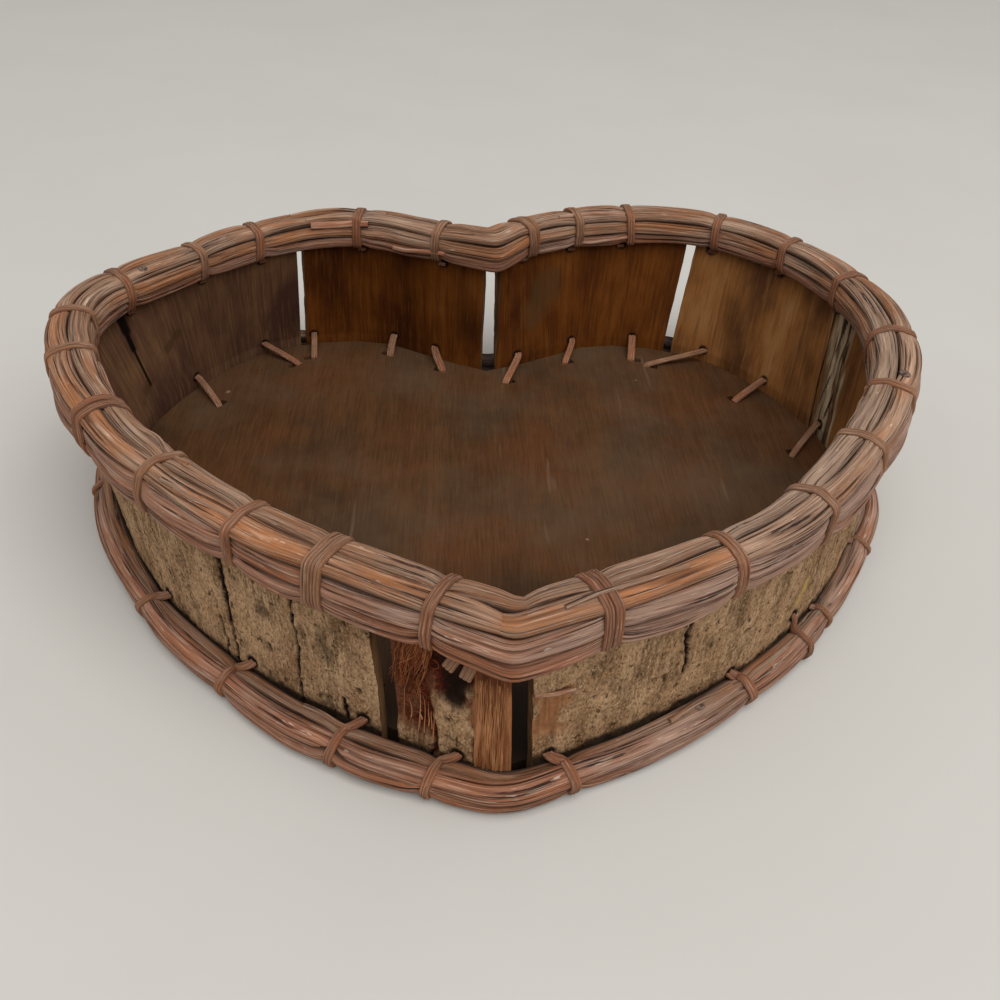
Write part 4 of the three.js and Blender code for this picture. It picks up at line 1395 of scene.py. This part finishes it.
# %% Build the panels
FREE_ABOVE_FOOT = (9, 14)
FREE_BELOW_RIM = (57, 62)
RAGGED_END = 0.25
# How far the outer face may stand out under the rods and between them, and the share of relief inside
COVERED_LIFT = 0.1
FREE_LIFT = 1.5
INSIDE_LIFT = 0.6
SEAM_SHIFTS = {
    # name: how far its two ends are moved along the foot, and along the rim
    "bark_panel_tip": ((1.2, -2.9), (1.2, -2.9)),
    "bark_panel_left_front": ((-3.0, 0.95), (-3.0, 0.95)),
    "bark_panel_left_back": ((-0.95, 0), (-0.95, 0)),
    "bark_panel_back_right": ((1.4, 0), (2.2, 0)),
    "bark_panel_back_left": ((0, -0.3), (0, -1.1)),
}


def shape_panel(node, inside_finish, seed):
    (foot_from, foot_to), (rim_from, rim_to) = np.array(panel_ends(node)) + SEAM_SHIFTS.get(node, 0)
    columns = max(8, round((foot_to - foot_from) / BARK_GRID))
    rows = round((SLAB_TOP - BARK_FOOT) / BARK_GRID)
    piece = grid(node.replace("panel", "slab"), columns, rows)
    across, up = np.meshgrid(np.linspace(0, 1, columns + 1), np.linspace(0, 1, rows + 1))
    height = BARK_FOOT + up * (SLAB_TOP - BARK_FOOT)
    levels = np.column_stack([np.full(rows + 1, seed * 50.0), np.zeros(rows + 1), height[:, 0]])
    ragged = np.column_stack([np.abs(bumps(levels + shift, 12, seed)) for shift in (0, 300)]) * RAGGED_END
    inset = ragged[:, :1] * (1 - across) ** 8 - ragged[:, 1:] * across ** 8
    foot_way = foot_from + across * (foot_to - foot_from) + inset
    rim_way = rim_from + across * (rim_to - rim_from) + inset
    points, normal = panel_middle(foot_way, rim_way, height)
    set_points(piece, points)
    slab = piece.modifiers.new("thickness", "SOLIDIFY")
    slab.thickness = 2 * HALF_BARK * MM
    slab.offset = 0
    bpy.ops.object.modifier_apply(modifier=slab.name)
    stretch_uv(piece, foot_to - foot_from, SLAB_TOP - BARK_FOOT, foot_from)
    place = np.column_stack([foot_way.ravel() % foot_line.length, height.ravel()])
    roughen(piece, normal.reshape(-1, 2), points.reshape(-1, 3), place, across.ravel(), seed)
    dress_panel(piece, inside_finish)
    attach(piece, "root")
    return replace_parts(piece, node)


def roughen(piece, normal, middle, place, across, seed):
    corners = np.empty(len(piece.data.vertices) * 3, np.float32)
    piece.data.vertices.foreach_get("co", corners)
    corners = corners.reshape(-1, 3) / MM
    normal, middle, place = [np.tile(part, (2, 1)) for part in (normal, middle, place)]
    across = np.tile(across, 2)
    outer = ((corners - middle)[:, :2] * normal).sum(1) > 0
    inner = ~outer
    free = soft(corners[:, 2], *FREE_ABOVE_FOOT) * (1 - soft(corners[:, 2], *FREE_BELOW_RIM))
    values = np.zeros((5, len(corners)))
    if piece.name == "bark_slab_tip":
        values[:, outer] = torn_relief(corners[outer], place[outer], seed, across[outer])
    else:
        values[:, outer] = outside_relief(corners[outer], place[outer], seed)
    values[:, inner] = inside_relief(corners[inner], place[inner], seed)
    lift = np.where(outer, np.minimum(values[0], COVERED_LIFT + FREE_LIFT * free), values[0] * INSIDE_LIFT)
    corners[:, :2] += normal * lift[:, None]
    set_points(piece, corners)
    for label, value in zip(("shade_and_stain", "bare", "core", "yellow"), values[1:]):
        set_value(piece, label, np.clip(value, 0, 1))
    set_value(piece, "outside", outer)


def dress_panel(piece, inside_finish):
    for finish in (BARK_OUTSIDE, inside_finish, BARK_END):
        piece.data.materials.append(finish)
    outside = np.empty(len(piece.data.vertices), np.float32)
    piece.data.attributes["outside"].data.foreach_get("value", outside)
    corners = np.empty(len(piece.data.loops), np.int32)
    piece.data.loops.foreach_get("vertex_index", corners)
    share = outside[corners.reshape(-1, 4)].sum(1)
    kinds = np.where(share == 4, 0, np.where(share == 0, 1, 2)).astype(np.int32)
    piece.data.polygons.foreach_set("material_index", kinds)
    close_up(piece, PANEL_EDGE)


PANEL_WOOD = {
    "bark_panel_back_right": ORANGE_WOOD,
    "bark_panel_right_back": TAN_WOOD,
    "bark_panel_right_front": TAN_WOOD,
    "bark_panel_tip": MAUVE_WOOD,
    "bark_panel_left_front": MAUVE_WOOD,
    "bark_panel_left_back": MAUVE_WOOD,
    "bark_panel_back_left": ORANGE_WOOD,
}
slabs = {node: shape_panel(node, wood, seed) for seed, (node, wood) in enumerate(PANEL_WOOD.items())}
print("bark faces:", {node: len(piece.data.polygons) for node, piece in slabs.items()})

# %% [markdown]
# ## Torn fibres
# At the tip, long red fibres hang from the torn bark, and the band beside them is split into straight fibres.
# Each tuft is one curve object with a spline for every fibre; a bevel gives the fibres their thickness and
# the curve is then turned into a mesh.

# %% Fibre tufts
def fibre_finish(name, dark, light):
    return streaked_finish(name, 0.75, dark, light, 500.0, (1, 1, 0.1), relief=(0.3, 0.2))


def tuft(name, fibres, thickness, finish):
    bpy.ops.object.select_all(action="DESELECT")
    bpy.ops.curve.primitive_bezier_curve_add()
    piece = bpy.context.object
    piece.name = name
    piece.data.splines.clear()
    piece.data.bevel_depth = thickness * MM
    piece.data.bevel_resolution = 0
    piece.data.use_fill_caps = True
    for points in fibres:
        spline = piece.data.splines.new("POLY")
        spline.points.add(len(points) - 1)
        taper = np.linspace(1, 0.35, len(points))
        for knot, point, radius in zip(spline.points, points * MM, taper):
            knot.co = (*point, 1)
            knot.radius = radius
    bpy.ops.object.convert(target="MESH")
    bpy.ops.object.shade_smooth()
    return settle(bpy.context.object, finish)


def wall_places(stops):
    """Points in millimetres from stops of (way along the foot, out, up) near the tip."""
    way, out, up = np.array(stops, float).T
    scale = (rim_line.length - rim_line.tip) / (foot_line.length - foot_line.tip)
    rim_way = rim_line.tip + (way - foot_line.tip) * scale
    points, normal = panel_middle(way, rim_way, up)
    points[:, :2] += normal * out[:, None]
    return points


RED_FIBRE = fibre_finish("red_fibre", (84, 36, 20), (142, 78, 46))
BROWN_FIBRE = fibre_finish("brown_fibre", (112, 66, 40), (176, 116, 74))
ORANGE_FIBRE = fibre_finish("orange_fibre", (140, 88, 54), (196, 140, 96))
print("fibre finishes ready")


# %% Grow the fibres
FLARING_SHARE = 0.2
# Where fibres hang along the foot and the place they gather at, and the heights they start at and fall by
HANGING_WAYS = (474.0, 484.3)
GATHERED_AT = 483.5
HANGING_TOPS = (56, 61)
HANGING_DROPS = (10, 25)
CURLED_WAYS = (474, 484)
CURLED_HEIGHTS = (32, 48)


def hanging_fibre(rng):
    way = rng.uniform(*HANGING_WAYS)
    top = rng.uniform(*HANGING_TOPS)
    drop = rng.uniform(*HANGING_DROPS)
    sway = (GATHERED_AT - way) * rng.uniform(0.2, 0.9) + rng.uniform(-1, 1.8)
    if rng.random() < FLARING_SHARE:
        sway += rng.uniform(1, 4)
    bulge = rng.uniform(0.4, 2.6)
    share = np.linspace(0, 1, 9)
    wobble = np.sin(share * rng.uniform(5, 12) + rng.uniform(0, 6)) * 0.45
    out = HALF_BARK - 0.6 + bulge * np.sin(share * math.pi * 0.75)
    return wall_places(np.column_stack([way + sway * share ** 1.5 + wobble, out, top - drop * share]))


def straight_fibre(rng, ways, lows, highs):
    way, low, high = rng.uniform(*ways), rng.uniform(*lows), rng.uniform(*highs)
    share = np.linspace(0, 1, 8)
    wobble = np.sin(share * rng.uniform(3, 8) + rng.uniform(0, 6)) * rng.uniform(0.1, 0.4)
    lift = rng.uniform(0.1, 0.7) + soft(share, 0.8, 1.0) * rng.uniform(-0.4, 1.4)
    return wall_places(np.column_stack([way + wobble, HALF_BARK + lift, low + (high - low) * share]))


def curled_fibre(rng):
    way = rng.uniform(*CURLED_WAYS)
    up = rng.uniform(*CURLED_HEIGHTS)
    turns = rng.uniform(0.5, 1.3) * 2 * math.pi
    share = np.linspace(0, 1, 9)
    reach = rng.uniform(0.6, 2.0)
    angle = rng.uniform(0, 6) + turns * share
    out = HALF_BARK - 1.0 + reach * 0.7 * share
    return wall_places(np.column_stack([way + reach * np.cos(angle), out, up + reach * np.sin(angle)]))


# Where they grow along the foot, and the heights between which they start and end
BAND_FIBRES = (452.5, 461), (4, 14), (38, 52)
SPLINTERS = (473, 483), (16, 24), (27, 38)
TUFTS = {
    # name: how a fibre grows and where, how many there are, their thickness and finish
    "tip_hanging_fibres": (hanging_fibre, (), 80, 0.18, BROWN_FIBRE),
    "tip_red_fibres": (hanging_fibre, (), 120, 0.18, RED_FIBRE),
    "tip_band_fibres": (straight_fibre, BAND_FIBRES, 60, 0.2, ORANGE_FIBRE),
    "tip_splinters": (straight_fibre, SPLINTERS, 9, 0.2, ORANGE_FIBRE),
    "tip_curled_fibres": (curled_fibre, (), 16, 0.18, RED_FIBRE),
}
chance = np.random.default_rng(23)
tufts = [tuft(name, [grow(chance, *where) for _ in range(count)], thickness, finish)
         for name, (grow, where, count, thickness, finish) in TUFTS.items()]
print("fibres:", sum(len(piece.data.polygons) for piece in tufts), "faces")

# %% [markdown]
# ## Broken ends and slivers
# Two strands of an older tie are broken off under the rim near the tip. Thin slivers have sprung from the
# rods here and there and lie in the creases between them.

# %% Stubs and slivers
STUB_WIDTH = 3.8
STUBS = {
    # name: way along the rim, lean along the rim, top and bottom
    "tie_stub_upper": (486.0, 2.6, 59.5, 53.0),
    "tie_stub_lower": (482.0, 1.6, 58.0, 51.5),
    "tie_end_left": (RIM_TIES["rim_tie_left_8"] - 2, -2.0, 60.0, 40.0),
}
SHORT_STRIPS = {
    # name: bundle, start, length, bearing round the bundle, width
    "foot_strip_left": (foot_bundle, 499.0, 17.0, 112, 3.6),
    "foot_strip_right": (foot_bundle, 372.0, 26.0, 100, 3.2),
    "rim_strip_left": (rim_bundle, 531.0, 22.0, -20, 2.6),
    "rim_strip_back": (rim_bundle, 836.0, 30.0, 150, 3.0),
}


def stub(name, way, lean, top, bottom):
    stops = [(0, HALF_BARK + 0.4, top), (lean * 0.4, HALF_BARK + 1.6, (top + bottom) / 2),
             (lean, HALF_BARK + 2.6, bottom)]
    return wall_strand(name, rim_line, way, stops, STUB_WIDTH, CANES[2], furrows=0.1)


def sliver(name, bundle, start, length, bearing, width, rng):
    way = np.linspace(0, length, 5)
    share = way / length
    path = np.array([lay_round(bundle, start + step, bearing, 0, 1)[0] for step in way])
    lift = np.sin(share * math.pi) * rng.uniform(0.0, 0.8) - 0.9
    path += unit(path - bundle.centre) * lift[:, None]
    points = bundle.line.place(start + way, path[:, 0], path[:, 1])
    normal = bundle.line.outward(start + way)
    across = np.column_stack([normal * 0.4, np.ones(len(way))])
    points = even_steps(points, ROD_STEP)
    spread_across = read_off(np.linspace(0, 1, len(points)), share, across)
    finish = list(ROD_FINISHES.values())[rng.integers(4)]
    return strand(name, points, spread_across, width, finish, "rod", furrows=0.2)


def loose_sliver(number, bundle, rng):
    start = rng.uniform(0, bundle.line.length)
    sizes = rng.uniform(22, 48), rng.uniform(-40, 215), rng.uniform(1.0, 1.9)
    return sliver(f"rim_sliver_{number}", bundle, start, *sizes, rng)


def splinter(name, stops, width):
    points = even_steps(wall_places(stops), CANE_STEP)
    upright = np.repeat([[0.0, 0.0, 1.0]], len(points), axis=0)
    return strand(name, points, upright, width, CANES[2], "bark", furrows=0.3)


RIGHT_SPLINTER = (444.5, 1.5, 43), (439.5, 2.3, 42), (434.5, 2.4, 41), (430, 1.5, 40)
stubs = [stub(name, *sizes) for name, sizes in STUBS.items()]
stubs.append(splinter("bark_splinter_right", RIGHT_SPLINTER, 1.7))
chance = np.random.default_rng(31)
slivers = [loose_sliver(number, rim_bundle, chance) for number in range(1, 13)]
slivers += [sliver(name, *sizes, chance) for name, sizes in SHORT_STRIPS.items()]
print("stubs:", len(stubs), "slivers:", len(slivers))

# %% [markdown]
# A few rods show the end of a knot, which is a flattened ball set into the face of its bundle.

# %% Knots in the rods
KNOT_FLATNESS = 0.4
KNOTS = {
    # name: bundle, way along it, bearing round it, radius
    "rim_knot_left": (rim_bundle, 752.5, 118, 1.9),
    "rim_knot_right": (rim_bundle, 277.0, 75, 2.2),
    "foot_knot_right": (foot_bundle, 386.0, 95, 1.9),
}


def knot(name, bundle, way, bearing, radius, finish):
    bpy.ops.object.select_all(action="DESELECT")
    bpy.ops.mesh.primitive_uv_sphere_add(segments=20, ring_count=10, radius=radius)
    piece = bpy.context.object
    piece.name = name
    corners = np.array([v.co for v in piece.data.vertices])
    out, up = lay_round(bundle, way, bearing, 0, 1)[0]
    angle = math.radians(bearing)
    outwards = corners[:, 2] * KNOT_FLATNESS - CANE_DEPTH / 2
    place_out = out + outwards * math.cos(angle) - corners[:, 1] * math.sin(angle)
    place_up = up + outwards * math.sin(angle) + corners[:, 1] * math.cos(angle)
    set_points(piece, bundle.line.place(way + corners[:, 0], place_out, place_up))
    bpy.ops.object.shade_smooth()
    return settle(piece, finish)


KNOT_FINISH = streaked_finish("knot_end", 0.7, (72, 56, 48), (136, 114, 100), 900.0, fade=(0.38, 0.62),
                              relief=(0.5, 0.3))
knots = [knot(name, *sizes, KNOT_FINISH) for name, sizes in KNOTS.items()]
print("knots:", len(knots))

# %% [markdown]
# ## Board
# The board is a flat piece of stained plywood, so its solid is right as it is and only needs its finish: fine
# grain from front to back, dark pores, dust that has settled in a haze, a few pale specks and scratches, and
# painted shade that deepens towards the tip, where the walls shade the board.

# %% Board finish
# Where the painted shade on the board is deepest
BOARD_TIP = (0, -0.135, 0)
DUSTY_SIDE = (0.085, -0.03, 0)


def distance(tree, where, spot):
    sockets = {0: where, 1: spot}
    return add(tree, "ShaderNodeVectorMath", sockets, operation="DISTANCE").outputs["Value"]


def board_finish():
    finish, tree, shader = new_finish("stained_board", 0.72)
    pore = cloud(tree, 1500.0, (1, 0.045, 1), detail=5.0, roughness=0.65)
    band = cloud(tree, 120.0, (1, 0.05, 1), shift=1.0)
    haze = cloud(tree, 13.0, shift=5.0, detail=6.0, roughness=0.65)
    speck = cloud(tree, 190.0, shift=8.0, detail=1.0)
    scratch = cloud(tree, 60.0, (3.0, 0.25, 1), shift=3.0, detail=2.0)
    stain = cloud(tree, 24.0, shift=2.5, detail=6.0, roughness=0.6)
    where = add(tree, "ShaderNodeTexCoord").outputs["Object"]
    aside = distance(tree, where, DUSTY_SIDE)
    settled = calculate(tree, "ADD", haze, spread(tree, aside, 0.02, 0.08, 0.12, 0))
    uneven = calculate(tree, "MULTIPLY", haze, 0.05)
    tip_shade_distance = calculate(tree, "ADD", distance(tree, where, BOARD_TIP), uneven)
    colour = layers(tree, between(tree, band, 0.35, 0.65, (78, 49, 27), (88, 58, 34)), (
        (stain, 0.36, 0.50, 0.75, 0, (64, 46, 30)),
        (stain, 0.52, 0.66, 0, 0.6, (98, 58, 32)),
        (pore, 0.38, 0.50, 0.4, 0, (54, 34, 20)),
        (pore, 0.55, 0.68, 0, 0.25, (112, 82, 54)),
        (settled, 0.46, 0.70, 0, 0.5, (98, 80, 62)),
        (scratch, 0.70, 0.76, 0, 0.35, (124, 100, 80)),
        (speck, 0.83, 0.84, 0, 0.5, (150, 134, 116)),
        # Painted shade: the board darkens towards the tip, where the walls and the rim shade it
        (tip_shade_distance, 0.06, 0.125, 0.9, 0, (22, 14, 9)),
    ))
    connect(tree, shader, colour, pore, 0.4, 0.25)
    return finish


board = nodes["heart_board"]
board.data.materials.clear()
board.data.materials.append(board_finish())
print("board dressed")
